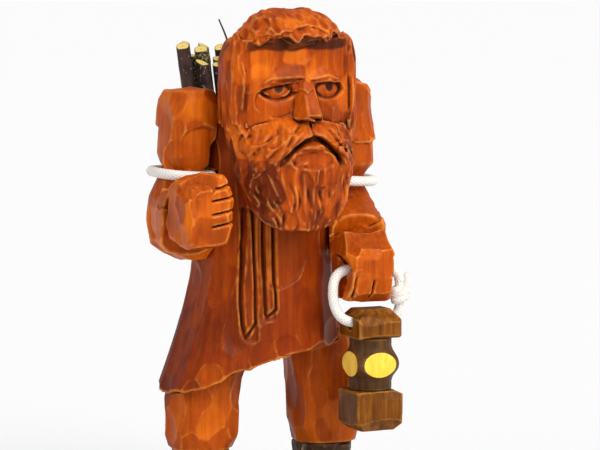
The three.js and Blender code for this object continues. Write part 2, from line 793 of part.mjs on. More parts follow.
// Right fist, closed, with the thumb laid over the top and grooves between the fingers
function rightFist() {
  const wide = RIGHT_FIST_WIDTH / 2;
  const high = RIGHT_FIST_HEIGHT / 2;
  const back = CUFF_Y - GLUE_GAP;
  const depth = back - RIGHT_FIST_FRONT;
  const mass = (inset) => {
    const level = (share, trim) =>
      frontRing(
        back - depth * share + (share === 1 ? inset : 0),
        RIGHT_FIST_X - wide + trim + inset,
        RIGHT_FIST_X + wide - trim - inset,
        RIGHT_FIST_Z - high + trim + inset,
        RIGHT_FIST_Z + high - trim - inset,
        3.6,
        18,
      );
    return loft([level(0, 4), level(0.18, 0.5), level(0.6, 0), level(0.88, 2), level(1, 6)]);
  };
  let form = mass(0);
  const thumbTop = RIGHT_FIST_Z + high;
  form = form.add(
    limb([
      [RIGHT_FIST_X - wide * 0.55, back - depth * 0.25, thumbTop - 4, 6, 4],
      [RIGHT_FIST_X - wide * 0.1, back - depth * 0.5, thumbTop - 1, 7, 5],
      [RIGHT_FIST_X + wide * 0.55, back - depth * 0.72, thumbTop - 2, 6, 4.5],
      [RIGHT_FIST_X + wide * 0.85, back - depth * 0.8, thumbTop - 5, 3, 3],
    ]),
  );
  for (let finger = -1; finger <= 1; finger++) {
    const z = RIGHT_FIST_Z + finger * FINGER_PITCH;
    const groove = block(
      [wide * 1.5, depth * 0.7, FINGER_GROOVE],
      [RIGHT_FIST_X + wide * 0.8, RIGHT_FIST_FRONT + depth * 0.2, z],
    );
    form = form.subtract(groove.subtract(mass(FINGER_DEPTH)));
  }
  return form
    .subtract(coatMass(GLUE_GAP))
    .subtract(hairMass(GLUE_GAP))
    .subtract(rightWristDowel(GLUE_GAP));
}

// Left arm, with the forearm reaching down to the hanging fist
const LEFT_WRIST = [LEFT_FIST_X + 4, FIST_HOLE_Y + LEFT_FIST_REACH, FIST_HOLE_Z + 19];
const LEFT_ELBOW_MIDDLE = [LEFT_ARM_OUTER - 15, (ARM_FRONT + ARM_BACK) / 2 + 3, LEFT_ELBOW + 22];

function leftSleeveMass(grow = 0) {
  const between = (share) =>
    LEFT_ELBOW_MIDDLE.map((value, axis) => value + (LEFT_WRIST[axis] - value) * share);
  const forearm = limb(
    [
      [...between(-0.1), 16 + grow, 17 + grow],
      [...between(0.35), 20 + grow, 20 + grow],
      [...between(0.85), 19.5 + grow, 19 + grow],
      [...between(1), 18 + grow, 17.5 + grow],
    ],
    2.8,
    16,
  );
  const arm = upperArm(1, LEFT_ARM_OUTER, SHOULDER_LEFT_TOP, LEFT_ELBOW, LEFT_SHOULDER_SWELL, grow);
  return arm.add(forearm);
}

function leftWristDowel(grow) {
  const wrist = new THREE.Vector3(...LEFT_WRIST);
  const along = wrist.clone().sub(new THREE.Vector3(...LEFT_ELBOW_MIDDLE)).normalize();
  const from = wrist.clone().addScaledVector(along, -WRIST_DOWEL_DEPTH - grow);
  const to = wrist.clone().addScaledVector(along, WRIST_DOWEL_DEPTH * 0.6 + grow);
  return bar(from.toArray(), to.toArray(), WRIST_DOWEL_RADIUS + grow);
}

function leftSleeve() {
  return leftSleeveMass()
    .subtract(coatMass(GLUE_GAP))
    .subtract(hairMass(GLUE_GAP))
    .subtract(strap(CORD_SLACK))
    .subtract(shoulderDowel(1, GLUE_GAP))
    .subtract(leftWristDowel(GLUE_GAP));
}

// A hole along X for a cord, with its two mouths eased where the cord bends
function cordHole(left, right, y, z, mouth) {
  const radius = CORD_DIAMETER / 2 + CORD_SLACK;
  const ease = (share) => radius + mouth * share ** 2;
  const profile = [new THREE.Vector2(0, -1)];
  for (let step = 4; step >= 0; step--) {
    const share = step / 4;
    profile.push(new THREE.Vector2(ease(share), CORD_MOUTH_DEPTH * (1 - share)));
  }
  const half = (right - left) / 2;
  profile[1].y = -1;
  profile.push(new THREE.Vector2(radius, half), new THREE.Vector2(0, half));
  const turned = solid(new THREE.LatheGeometry(profile, 16));
  const inwards = turned.rotate([0, 0, -90]).translate([left, 0, 0]);
  const outwards = turned.rotate([0, 0, 90]).translate([right, 0, 0]);
  return inwards.add(outwards).translate([0, y, z]);
}

// Left fist, closed round the cord, with its profile drawn in Y and Z from the cord's hole
function leftFist() {
  const drop = LEFT_FIST_DROP;
  const reach = LEFT_FIST_REACH;
  const bevel = 4;
  const profile = new THREE.Shape();
  profile.moveTo(-reach * 0.9, drop * 0.55);
  profile.lineTo(-reach, 0);
  profile.lineTo(-reach * 0.76, -drop * 0.68);
  profile.lineTo(-reach * 0.25, -drop);
  profile.lineTo(reach * 0.55, -drop);
  profile.lineTo(reach * 1.2, -drop * 0.45);
  profile.lineTo(reach * 1.35, drop);
  profile.lineTo(0, drop * 1.15);
  const geometry = new THREE.ExtrudeGeometry(profile, {
    depth: LEFT_FIST_WIDTH - 2 * bevel,
    bevelThickness: bevel,
    bevelSize: bevel,
    bevelOffset: -bevel,
    bevelSegments: 2,
  });
  const acrossFist = new THREE.Matrix4().makeBasis(
    new THREE.Vector3(0, 1, 0),
    new THREE.Vector3(0, 0, 1),
    new THREE.Vector3(1, 0, 0),
  );
  geometry.applyMatrix4(acrossFist);
  geometry.translate(LEFT_FIST_X - LEFT_FIST_WIDTH / 2 + bevel, FIST_HOLE_Y, FIST_HOLE_Z);
  let form = solid(geometry);
  for (let finger = 0; finger <= 1; finger++) {
    const x = LEFT_FIST_X + LEFT_FINGER_START + finger * LEFT_FINGER_PITCH;
    const groove = block(
      [FINGER_GROOVE, reach, drop],
      [x, FIST_HOLE_Y - reach, FIST_HOLE_Z - drop * 0.75],
    );
    form = form.subtract(groove);
  }
  const half = LEFT_FIST_WIDTH / 2;
  return form
    .subtract(coatMass(GLUE_GAP))
    .subtract(leftSleeveMass(GLUE_GAP))
    .subtract(cordHole(LEFT_FIST_X - half, LEFT_FIST_X + half, FIST_HOLE_Y, FIST_HOLE_Z, FIST_MOUTH))
    .subtract(leftWristDowel(GLUE_GAP));
}

// Lantern, in a frame on its own axis with the base's underside at zero
const LIGHT_BOTTOM = LANTERN_BASE_HEIGHT + GLUE_GAP;
const CAP_BOTTOM = LIGHT_BOTTOM + LIGHT_HEIGHT + GLUE_GAP;

function lanternDowel(grow) {
  const bottom = LANTERN_BASE_HEIGHT - LANTERN_DOWEL_DEPTH - grow;
  const top = CAP_BOTTOM + LANTERN_DOWEL_TOP + grow;
  return bar([0, 0, bottom], [0, 0, top], LANTERN_DOWEL_RADIUS + grow, 12);
}

function squareRing(z, width, depth) {
  return levelRing(z, -width / 2, width / 2, -depth / 2, depth / 2, 12, 8);
}

function lanternBase() {
  const width = LANTERN_BASE_WIDTH;
  const narrow = LANTERN_BASE_WIDTH - 2 * LANTERN_BASE_CHAMFER;
  return loft([
    squareRing(0, narrow, narrow),
    squareRing(LANTERN_BASE_CHAMFER, width, width),
    squareRing(LANTERN_BASE_HEIGHT - LANTERN_EDGE, width, width),
    squareRing(LANTERN_BASE_HEIGHT, width - 2 * LANTERN_EDGE, width - 2 * LANTERN_EDGE),
  ]).subtract(lanternDowel(GLUE_GAP));
}

function lanternLight() {
  const neck = (LIGHT_HEIGHT - LIGHT_BULGE) / 2;
  const profile = [new THREE.Vector2(0, 0), new THREE.Vector2(LIGHT_NECK_RADIUS, 0)];
  for (let step = 0; step <= LIGHT_STEPS; step++) {
    const share = step / LIGHT_STEPS;
    const swell = (LIGHT_RADIUS - LIGHT_NECK_RADIUS) * Math.sin(Math.PI * share) ** 2;
    profile.push(new THREE.Vector2(LIGHT_NECK_RADIUS + swell, neck + LIGHT_BULGE * share));
  }
  profile.push(new THREE.Vector2(LIGHT_NECK_RADIUS, LIGHT_HEIGHT), new THREE.Vector2(0, LIGHT_HEIGHT));
  const turned = new THREE.LatheGeometry(profile, LIGHT_SIDES).rotateX(Math.PI / 2);
  return solid(turned)
    .intersect(block([LIGHT_FLATS, LIGHT_FLATS, LIGHT_HEIGHT * 3], [0, 0, 0]))
    .translate([0, 0, LIGHT_BOTTOM])
    .subtract(lanternDowel(GLUE_GAP));
}

function lanternCap() {
  return loft([
    squareRing(CAP_BOTTOM, CAP_WIDTH - 2 * LANTERN_EDGE, CAP_DEPTH - 2 * LANTERN_EDGE),
    squareRing(CAP_BOTTOM + LANTERN_EDGE, CAP_WIDTH, CAP_DEPTH),
    squareRing(CAP_BOTTOM + CAP_WALL, CAP_WIDTH, CAP_DEPTH),
    squareRing(CAP_BOTTOM + CAP_HEIGHT, CAP_TOP_WIDTH, CAP_TOP_DEPTH),
  ])
    .subtract(cordHole(-CAP_WIDTH / 2, CAP_WIDTH / 2, 0, CAP_BOTTOM + CAP_BORE_RISE, CAP_MOUTH))
    .subtract(lanternDowel(GLUE_GAP));
}

// Lantern cord, from the knot through the fist, down on the inner side and back through the cap
const CAP_BORE_Z = LANTERN_BOTTOM + CAP_BOTTOM + CAP_BORE_RISE;
const fistInner = LEFT_FIST_X - LEFT_FIST_WIDTH / 2;
const fistOuter = LEFT_FIST_X + LEFT_FIST_WIDTH / 2;
const capInner = LANTERN_X - CAP_WIDTH / 2;
const capOuter = LANTERN_X + CAP_WIDTH / 2;
const innerDrop = Math.min(fistInner, capInner - CORD_BEND) - CORD_STAND_OFF;
const outerDrop = Math.max(fistOuter + CORD_BEND / 2, capOuter) + CORD_STAND_OFF;
const LANTERN_CORD_POINTS = [
  [outerDrop, FIST_HOLE_Y, FIST_HOLE_Z - 10.5],
  [outerDrop - 0.4, FIST_HOLE_Y, FIST_HOLE_Z - 7],
  [outerDrop - 2.2, FIST_HOLE_Y, FIST_HOLE_Z - 3.4],
  [outerDrop - 5.5, FIST_HOLE_Y, FIST_HOLE_Z - 0.9],
  [outerDrop - 10, FIST_HOLE_Y, FIST_HOLE_Z],
  [LEFT_FIST_X + 7.5, FIST_HOLE_Y, FIST_HOLE_Z],
  [LEFT_FIST_X - 7.5, FIST_HOLE_Y, FIST_HOLE_Z],
  [innerDrop + 9.4, FIST_HOLE_Y, FIST_HOLE_Z - 0.3],
  [innerDrop + 4.4, FIST_HOLE_Y, FIST_HOLE_Z - 2.2],
  [innerDrop + 1.2, FIST_HOLE_Y, FIST_HOLE_Z - 6],
  [innerDrop, FIST_HOLE_Y, FIST_HOLE_Z - 11.5],
  [innerDrop, FIST_HOLE_Y, CAP_BORE_Z + 17],
  [innerDrop + 1.2, FIST_HOLE_Y, CAP_BORE_Z + 11.4],
  [innerDrop + 3.8, FIST_HOLE_Y, CAP_BORE_Z + 6.2],
  [innerDrop + 7.6, FIST_HOLE_Y, CAP_BORE_Z + 2.5],
  [innerDrop + 12.3, FIST_HOLE_Y, CAP_BORE_Z + 0.5],
  [innerDrop + 17.8, FIST_HOLE_Y, CAP_BORE_Z],
  [outerDrop - 13, FIST_HOLE_Y, CAP_BORE_Z],
  [outerDrop - 8, FIST_HOLE_Y, CAP_BORE_Z + 0.5],
  [outerDrop - 3.4, FIST_HOLE_Y, CAP_BORE_Z + 2.6],
  [outerDrop - 0.6, FIST_HOLE_Y, CAP_BORE_Z + 6.4],
  [outerDrop, FIST_HOLE_Y, CAP_BORE_Z + 10.4],
];

function lanternCord(grow) {
  return cord(LANTERN_CORD_POINTS, CORD_DIAMETER / 2 + grow, LANTERN_CORD_STEPS);
}

// The knot that joins a cord's two ends, drawn tight into a double bulge
function knot(points) {
  const start = new THREE.Vector3(...points[0]);
  const end = new THREE.Vector3(...points.at(-1));
  const stations = [
    [0.03, 0.5],
    [0.2, 0.95],
    [0.38, 1],
    [0.5, 0.86],
    [0.62, 1],
    [0.8, 0.95],
    [0.97, 0.5],
  ];
  return limb(
    stations.map(([share, size]) => {
      const point = start.clone().lerp(end, share);
      return [...point.toArray(), KNOT_RADIUS * size, KNOT_RADIUS * size * KNOT_FLATNESS];
    }),
    2,
    12,
    new THREE.Vector3(0, 1, 0),
  );
}

// Twigs, packed against the coat's back one after the other where each lies deepest
function packTwigs() {
  const spots = [];
  TWIG_DIAMETERS.forEach((diameter, index) => {
    const radius = diameter / 2;
    const rounding = 1 - BUNDLE_ROUNDING * (index / TWIG_DIAMETERS.length);
    const reach = (BUNDLE_WIDTH / 2) * rounding - radius;
    let best = null;
    for (let step = 0; step <= 160; step++) {
      const x = BUNDLE_X + reach * ((2 * step) / 160 - 1);
      let y = -Infinity;
      for (const across of [-0.9, -0.6, -0.3, 0, 0.3, 0.6, 0.9]) {
        const coatSide = coatBackAt(x + across * radius, BUNDLE_BOTTOM);
        y = Math.max(y, coatSide + radius * Math.sqrt(1 - across ** 2) + 2 * GLUE_GAP);
      }
      for (const other of spots) {
        const clear = radius + other.radius + GLUE_GAP;
        const apart = x - other.x;
        if (Math.abs(apart) < clear) y = Math.max(y, other.y + Math.sqrt(clear ** 2 - apart ** 2));
      }
      if (!best || y < best.y) best = { x, y, radius };
    }
    spots.push(best);
  });
  return spots;
}

function twig({ x, y, radius }, index) {
  const length = BUNDLE_TOP - BUNDLE_BOTTOM + BUNDLE_RAGGED * Math.sin(index);
  const level = (share, slant, lean) => {
    const rise = length * share;
    const fan = 1 + BUNDLE_FAN * rise;
    const middle = new THREE.Vector3(
      x * fan + BUNDLE_LEAN_X * rise,
      y * fan + BUNDLE_LEAN_Y * rise,
      BUNDLE_BOTTOM + rise,
    );
    const wide = radius * (1 - (1 - TWIG_TAPER) * share);
    const points = ring(
      middle,
      new THREE.Vector3(wide, 0, 0),
      new THREE.Vector3(0, wide, 0),
      2,
      TWIG_SIDES,
    );
    points.forEach((point) => {
      point.z += slant * (point.x - middle.x) + lean * (point.y - middle.y);
    });
    return points;
  };
  const cut = TWIG_CUT_SLANT * Math.cos(index * 1.7);
  return loft([
    level(0, cut, 0),
    level(0.3, 0, 0),
    level(0.65, 0, 0),
    level(1, -cut, TWIG_CUT_LEAN),
  ]).subtract(strap(CORD_SLACK));
}

// Assembly
const dwarf = new THREE.Group();

place(dwarf, "plinth", plinth(), darkWood);
const legs = [
  ["right", RIGHT_LEG_X, -RIGHT_LEG_BOW, -TOE_OUT],
  ["left", LEFT_LEG_X, LEFT_LEG_BOW, TOE_OUT],
];
for (const [side, x, bow, turn] of legs) {
  const foot = new THREE.Group();
  foot.position.set(x, LEG_Y, PLINTH_HEIGHT);
  foot.rotation.z = THREE.MathUtils.degToRad(turn);
  place(foot, `${side}_boot`, boot(bow), darkWood);
  dwarf.add(foot);
  place(dwarf, `${side}_trouser_leg`, trouserLeg(x, bow), stainedWood);
  place(dwarf, `${side}_leg_dowel`, legDowel(x, 0), rawDowel);
}
place(dwarf, "coat", coat(), stainedWood);
place(dwarf, "neck_dowel", neckDowel(0), rawDowel);
place(dwarf, "head", head(), stainedWood);
place(dwarf, "right_shoulder_dowel", shoulderDowel(-1, 0), rawDowel);
place(dwarf, "right_sleeve", rightSleeve(), stainedWood);
place(dwarf, "right_wrist_dowel", rightWristDowel(0), rawDowel);
place(dwarf, "right_fist", rightFist(), stainedWood);
place(dwarf, "left_shoulder_dowel", shoulderDowel(1, 0), rawDowel);
place(dwarf, "left_sleeve", leftSleeve(), stainedWood);
place(dwarf, "left_wrist_dowel", leftWristDowel(0), rawDowel);
place(dwarf, "left_fist", leftFist(), stainedWood);
packTwigs().forEach((spot, index) => {
  place(dwarf, `twig_${String(index + 1).padStart(2, "0")}`, twig(spot, index), twigBark);
});
place(dwarf, "strap_cord", strap(0), cottonCord);
place(dwarf, "strap_knot", knot(STRAP_POINTS).subtract(strap(GLUE_GAP)), cottonCord);

place(dwarf, "lantern_cord", lanternCord(0), cottonCord);
place(dwarf, "lantern_cord_knot", knot(LANTERN_CORD_POINTS).subtract(lanternCord(GLUE_GAP)), cottonCord);

const lantern = new THREE.Group();
lantern.position.set(LANTERN_X, FIST_HOLE_Y, LANTERN_BOTTOM);
place(lantern, "lantern_base", lanternBase(), lanternWood);
place(lantern, "lantern_light", lanternLight(), paintedLight);
place(lantern, "lantern_cap", lanternCap(), lanternWood);
place(lantern, "lantern_dowel", lanternDowel(0), rawDowel);
dwarf.add(lantern);

export default dwarf;
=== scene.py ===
import math
from functools import reduce

import bpy
import numpy as np
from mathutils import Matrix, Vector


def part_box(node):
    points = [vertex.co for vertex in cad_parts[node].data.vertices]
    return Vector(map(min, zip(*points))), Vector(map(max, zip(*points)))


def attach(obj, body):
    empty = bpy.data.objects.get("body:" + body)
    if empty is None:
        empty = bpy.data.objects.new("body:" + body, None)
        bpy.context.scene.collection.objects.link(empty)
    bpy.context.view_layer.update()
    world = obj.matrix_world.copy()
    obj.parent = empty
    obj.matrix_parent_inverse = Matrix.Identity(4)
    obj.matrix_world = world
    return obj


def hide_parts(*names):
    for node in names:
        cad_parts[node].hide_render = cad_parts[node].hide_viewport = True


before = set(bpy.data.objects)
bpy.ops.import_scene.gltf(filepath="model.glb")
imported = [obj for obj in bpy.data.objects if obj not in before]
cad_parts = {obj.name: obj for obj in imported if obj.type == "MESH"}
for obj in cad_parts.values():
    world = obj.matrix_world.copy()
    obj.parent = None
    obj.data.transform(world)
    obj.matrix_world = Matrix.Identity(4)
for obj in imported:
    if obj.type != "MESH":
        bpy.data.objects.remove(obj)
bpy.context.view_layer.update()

import openvdb
from mathutils import Vector
from mathutils.bvhtree import BVHTree


# Plinth
# A board with cut corners that the boots stand on, in dark stained wood.
# It is sawn, its faces are cleaned with wide flat gouge cuts, and it is stained with the boots.
class Value:
    """A shader socket that can stand in sums and products."""

    def __init__(self, tree, socket=None):
        self.tree = tree
        self.socket = socket

    def add(self, kind, settings=None, sockets=None, output=0):
        node = self.tree.nodes.new("ShaderNode" + kind)
        for name, setting in (settings or {}).items():
            if name == "stops":
                ramp = node.color_ramp.elements
                while len(ramp) < len(setting):
                    ramp.new(0.5)
                for stop, (place, colour) in zip(ramp, setting):
                    stop.position = place
                    stop.color = (*colour, 1)
            else:
                setattr(node, name, setting)
        for name, value in (sockets or {}).items():
            if isinstance(value, Value):
                self.tree.links.new(value.socket, node.inputs[name])
            elif isinstance(value, tuple) and node.inputs[name].type == "RGBA":
                node.inputs[name].default_value = (*value, 1)
            else:
                node.inputs[name].default_value = value
        return Value(self.tree, node.outputs[output])

    def maths(self, operation, first, second=0.0):
        return self.add("Math", {"operation": operation}, {0: first, 1: second})

    def __add__(self, other):
        return self.maths("ADD", self, other)

    def __sub__(self, other):
        return self.maths("SUBTRACT", self, other)

    def __rsub__(self, other):
        return self.maths("SUBTRACT", other, self)

    def __mul__(self, other):
        return self.maths("MULTIPLY", self, other)

    __radd__ = __add__
    __rmul__ = __mul__

    def between(self, low, high):
        """0 up to low, 1 from high, smooth between."""
        return self.add(
            "MapRange",
            {"interpolation_type": "SMOOTHSTEP"},
            {"Value": self, "From Min": low, "From Max": high},
        )

    def mixed(self, first, second):
        """first where this value is 0, second where it is 1."""
        return self.add(
            "Mix", {"data_type": "RGBA"}, {"Factor": self, 6: first, 7: second}, output=2
        )

    def noise(self, scale, stretch=(1, 1, 1), detail=3.0):
        place = self.add("TexCoord", output="Object")
        place = self.add("VectorMath", {"operation": "MULTIPLY"}, {0: place, 1: stretch})
        return self.add(
            "TexNoise", None, {"Vector": place, "Scale": scale, "Detail": detail}
        )

    def attribute(self, name):
        return self.add("Attribute", {"attribute_name": name}, output="Fac")


def finish(name):
    """A new material with its shader, and the start of its expressions."""
    material = bpy.data.materials.new(name)
    material.use_nodes = True
    shader = material.node_tree.nodes["Principled BSDF"]
    return material, shader, Value(material.node_tree)


def feed(shader, **values):
    """Links values to the shader's sockets: Base_Color feeds Base Color."""
    for socket, value in values.items():
        shader.id_data.links.new(value.socket, shader.inputs[socket.replace("_", " ")])


def stained_wood(name, deep, middle, light, worn, sunk, streak=0.22, gloss=0.4):
    """Stained and varnished wood: a tone for each cut, grain along Z, worn ridges, painted shade in
    hollows, and a dark colour for inked places and painted shade in cuts.
    """
    material, shader, start = finish(name)
    tone = start.attribute("tone")
    ridge = start.attribute("ridge")
    hollow = start.attribute("hollow")
    ink = start.attribute("ink")
    blotch = start.noise(32, detail=4)
    grain = start.noise(300, (1, 1, 0.06), detail=5)
    pores = start.noise(1100, (1, 1, 0.05), detail=2)
    shade = tone * 0.36 + (blotch - 0.5) * 0.9 + (grain - 0.5) * streak * 3 + 0.3
    colour = start.add(
        "ValToRGB", {"stops": [(0.1, deep), (0.5, middle), (0.9, light)]}, {"Fac": shade}
    )
    colour = (pores.between(0.6, 0.78) * 0.5).mixed(colour, deep)
    rub = start.noise(160, detail=3).between(0.25, 0.65)
    colour = (ridge * (0.12 + rub * 0.4)).mixed(colour, worn)
    # Painted shade: hollows are darkened towards the dark colour.
    colour = (hollow.between(0.05, 0.6) * 0.9).mixed(colour, sunk)
    # Inked pupils take the dark colour, and so does painted shade in the face's cuts, lid lines and
    # nostrils.
    colour = ink.mixed(colour, sunk)
    relief = grain * 0.6 + pores * 0.4
    bump = start.add("Bump", None, {"Strength": 0.2, "Distance": 0.0005, "Height": relief})
    rough = gloss + grain * 0.15 - ridge * 0.06 + hollow * 0.25
    feed(shader, Base_Color=colour, Roughness=rough, Normal=bump)
    shader.inputs["Specular IOR Level"].default_value = 0.18
    shader.inputs["Specular Tint"].default_value = (1, 0.62, 0.4, 1)
    shader.inputs["Coat Weight"].default_value = 0.04
    shader.inputs["Coat Roughness"].default_value = 0.2
    return material


class Block:
    """A piece of wood as distances to its surface on a grid, in millimetres, negative in the wood."""

    BAND = 9
    OPEN_AIR = ((4, 2), (9, 3))
    NEIGHBOUR_OUT = 1.5
    NEIGHBOUR_ROOM = 2.5
    MOST_TRIES = 14000
    MOST_DEPTH = 1.6
    HOLLOW_REACH = 3.5

    def __init__(self, node, step):
        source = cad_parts[node].data
        source.calc_loop_triangles()
        points = np.empty(len(source.vertices) * 3, np.float32)
        source.vertices.foreach_get("co", points)
        corners = np.empty(len(source.loop_triangles) * 3, np.int32)
        source.loop_triangles.foreach_get("vertices", corners)
        self.step = step
        grid = self.distances(points.reshape(-1, 3) * 1000, triangles=corners.reshape(-1, 3))
        low, high = (np.array(corner) for corner in grid.evalActiveVoxelBoundingBox())
        self.low = low - 2
        self.wood = np.empty(high - low + 5, np.float32)
        grid.copyToArray(self.wood, ijk=self.first_cell())
        self.uncut = self.wood
        self.scoops = []
        corners = []
        faces = []
        for name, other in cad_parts.items():
            if name != node and not name.startswith("strap"):
                first = len(corners)
                faces += [[first + corner for corner in face.vertices] for face in other.data.polygons]
                corners += [vertex.co * 1000 for vertex in other.data.vertices]
        self.beside = BVHTree.FromPolygons(corners, faces)

    def distances(self, points, **faces):
        return openvdb.FloatGrid.createLevelSetFromPolygons(
            points,
            **{kind: corners.astype(np.uint32) for kind, corners in faces.items()},
            transform=openvdb.createLinearTransform(voxelSize=self.step),
            halfWidth=self.BAND,
        )

    def first_cell(self):
        return tuple(int(n) for n in self.low)

    def surface(self, wood, offset=0.0):
        """Points and four-cornered faces where the distance is the offset."""
        grid = openvdb.FloatGrid(self.BAND * self.step)
        grid.copyFromArray(np.ascontiguousarray(wood, np.float32), ijk=self.first_cell())
        points, _, quads = grid.convertToPolygons(isovalue=offset, adaptivity=0.0)
        return np.asarray(points) * self.step, np.asarray(quads)

    def axes(self, window=(slice(None),) * 3):
        """The grid's X, Y and Z in a window, each along its own direction of the grid."""
        lines = [
            ((np.arange(n)[part] + low) * self.step).astype(np.float32)
            for n, part, low in zip(self.wood.shape, window, self.low)
        ]
        x, y, z = lines
        return x[:, None, None], y[None, :, None], z[None, None, :]

    def window(self, middle, reach):
        first = np.floor((np.array(middle) - reach) / self.step).astype(int) - self.low
        last = np.ceil((np.array(middle) + reach) / self.step).astype(int) - self.low + 1
        first = np.clip(first, 0, self.wood.shape)
        last = np.clip(last, 0, self.wood.shape)
        return tuple(slice(a, b) for a, b in zip(first, last))

    def sample(self, points, grid=None):
        """The grid's values at points, straight between its nodes."""
        grid = self.wood if grid is None else grid
        place = np.asarray(points) / self.step - self.low
        place = np.clip(place, 0, np.array(grid.shape) - 1.001)
        whole = place.astype(int)
        part = place - whole
        total = 0
        for corner in np.ndindex(2, 2, 2):
            weight = np.prod(np.where(corner, part, 1 - part), axis=1)
            total = total + weight * grid[tuple((whole + corner).T)]
        return total

    def slope(self, points):
        """The direction out of the wood at points."""
        points = np.asarray(points, float)
        out = np.empty_like(points)
        for axis in range(3):
            nudge = np.zeros(3)
            nudge[axis] = 2 * self.step
            out[:, axis] = self.sample(points + nudge) - self.sample(points - nudge)
        return out / np.maximum(np.linalg.norm(out, axis=1, keepdims=True), 1e-6)

    @staticmethod
    def blurred(grid, reach, times=2):
        count = 2 * reach + 1
        for _ in range(times):
            for axis in range(3):
                padding = [(reach + 1, reach) if n == axis else (0, 0) for n in range(3)]
                total = np.cumsum(np.pad(grid, padding, mode="edge"), axis=axis, dtype=np.float32)
                last = np.take(total, np.arange(count, total.shape[axis]), axis=axis)
                first = np.take(total, np.arange(0, total.shape[axis] - count), axis=axis)
                grid = (last - first) / count
        return grid

    def soften(self):
        self.wood = self.blurred(self.wood, 1, 1)

    def fill(self, radius):
        """Fills slots narrower than twice the radius; below 0 it takes off splinters as thin."""
        points, quads = self.surface(self.wood, radius)
        grid = self.distances(points, quads=quads)
        grid.copyToArray(self.wood, ijk=self.first_cell())
        self.wood += radius

    def add(self, *limits):
        """Adds the wood within all the limits, each a distance that is negative inside."""
        self.wood = np.minimum(self.wood, reduce(np.maximum, limits))

    def take(self, *limits):
        """Takes away the wood within all the limits."""
        self.wood = np.maximum(self.wood, -reduce(np.maximum, limits))

    def in_open_air(self, points):
        """Which points of the surface a gouge can reach, not in a bore or against another piece."""
        out = self.slope(points)
        reached = np.ones(len(points), bool)
        for away, room in self.OPEN_AIR:
            reached &= self.sample(points + away * out) > room
        for number, point in enumerate(points + self.NEIGHBOUR_OUT * out):
            reached[number] &= self.beside.find_nearest(Vector(point), self.NEIGHBOUR_ROOM)[0] is None
        return reached

    @staticmethod
    def scooped(x, y, z, ways, deep, bends, reach):
        """How far places lie in a scoop, over 0 where it takes the wood away."""
        over, lengthways, sideways = (x * way[0] + y * way[1] + z * way[2] for way in ways)
        far = (x * x + y * y + z * z) / reach**2
        bowl = over + deep - lengthways**2 / bends[0] - sideways**2 / bends[1]
        return bowl - far**3 * (2 * deep + 0.3 * reach)

    def spread(self, spacing, chance, where=None):
        """Points scattered over the surface, no two nearer than spacing."""
        cells = np.argwhere(np.abs(self.wood) < 0.5 * self.step)
        points = (cells + self.low) * self.step
        if where is not None:
            points = points[where(points)]
        points = chance.permutation(points)[: self.MOST_TRIES]
        points = points[self.in_open_air(points)]
        kept = points[:1]
        for point in points[1:]:
            if np.sum((kept - point) ** 2, axis=1).min() > spacing**2:
                kept = np.vstack([kept, point])
        return kept

    def gouge(self, chance, spacing, size, depth, along, where=None, wander=0.4, tilt=0.1, lean=(0, 0, 0)):
        """Covers the surface with scoops of a length and width that run about along a direction."""
        points = self.spread(spacing, chance, where)
        normals = self.slope(points) + np.array(lean) + chance.normal(0, tilt, points.shape)
        normals /= np.linalg.norm(normals, axis=1, keepdims=True)
        self.uncut = self.wood.copy()
        deepest = self.wood + self.MOST_DEPTH * depth
        slopes = np.gradient(self.wood, self.step)
        for point, normal in zip(points, normals):
            run = np.array(along(point) if callable(along) else along, float)
            run = run / np.linalg.norm(run) + chance.normal(0, wander, 3)
            run -= normal * run.dot(normal)
            run /= max(np.linalg.norm(run), 1e-6)
            across = np.cross(normal, run)
            deep = depth * chance.uniform(0.7, 1.25)
            long, wide = np.array(size) * chance.uniform(0.8, 1.25, 2)
            bends = long**2 / (4 * deep), wide**2 / (4 * deep)
            reach = 0.8 * max(long, wide)
            part = self.window(point, reach)
            x, y, z = (line - np.float32(middle) for line, middle in zip(self.axes(part), point))
            shape = (normal, run, across), deep, bends, reach
            scoop = self.scooped(x, y, z, *shape)
            facing = sum(slope[part] * share for slope, share in zip(slopes, normal))
            over = x * normal[0] + y * normal[1] + z * normal[2]
            # Wood that faces away and stands over the cut belongs to another side, and stays.
            scoop -= 6 * np.clip(1.5 - 2.5 * facing, 0, 1) * np.clip(over / 1.5, 0, 1)
            np.minimum(scoop, deepest[part], out=scoop)
            np.maximum(self.wood[part], scoop, out=self.wood[part])
            self.scoops.append((point, reach, shape))

    def owners(self, points):
        """The number of the scoop that made the surface at each point, 0 for none."""
        order = np.argsort(points[:, 2])
        heights = points[order, 2]
        best = self.sample(points, self.uncut)
        owner = np.zeros(len(points), int)
        for number, (middle, reach, shape) in enumerate(self.scoops, 1):
            first, last = np.searchsorted(heights, (middle[2] - reach, middle[2] + reach))
            near = order[first:last]
            rest = points[near] - middle
            close = (np.abs(rest) < reach).all(axis=1)
            near, rest = near[close], rest[close]
            value = self.scooped(*rest.T, *shape)
            over = value > best[near]
            best[near[over]] = value[over]
            owner[near[over]] = number
        return owner

    def piece(self, name, chance, tint=None, contrast=1.0, rubbed=1.0, splinters=0.0, **values):
        """The carved block as a mesh, with a tone for each cut, its ridges, and painted shade for its
        hollows.
        """
        if splinters:
            self.fill(-splinters / 2)
        points, quads = self.surface(self.wood)
        quads = largest_shell(len(points), quads)
        used = np.unique(quads)
        renumber = np.zeros(len(points), np.int32)
        renumber[used] = np.arange(len(used))
        points = points[used]
        quads = renumber[quads][:, ::-1]
        solid = np.clip(0.5 - self.wood / self.step, 0, 1)
        fine = self.sample(points, self.blurred(solid, 1))
        broad = self.sample(points, self.blurred(solid, round(self.HOLLOW_REACH / self.step)))
        tone = chance.random(len(self.scoops) + 1)[self.owners(points)]
        for _ in range(3):
            share = np.repeat(tone[quads].mean(axis=1), 4)
            tone = np.bincount(quads.ravel(), share) / np.bincount(quads.ravel())
        tone = 0.5 + contrast * (tone - 0.5)
        # A tint adds to the tone; the head's tint is painted light and shade.
        if tint:
            tone = tone + tint(points)
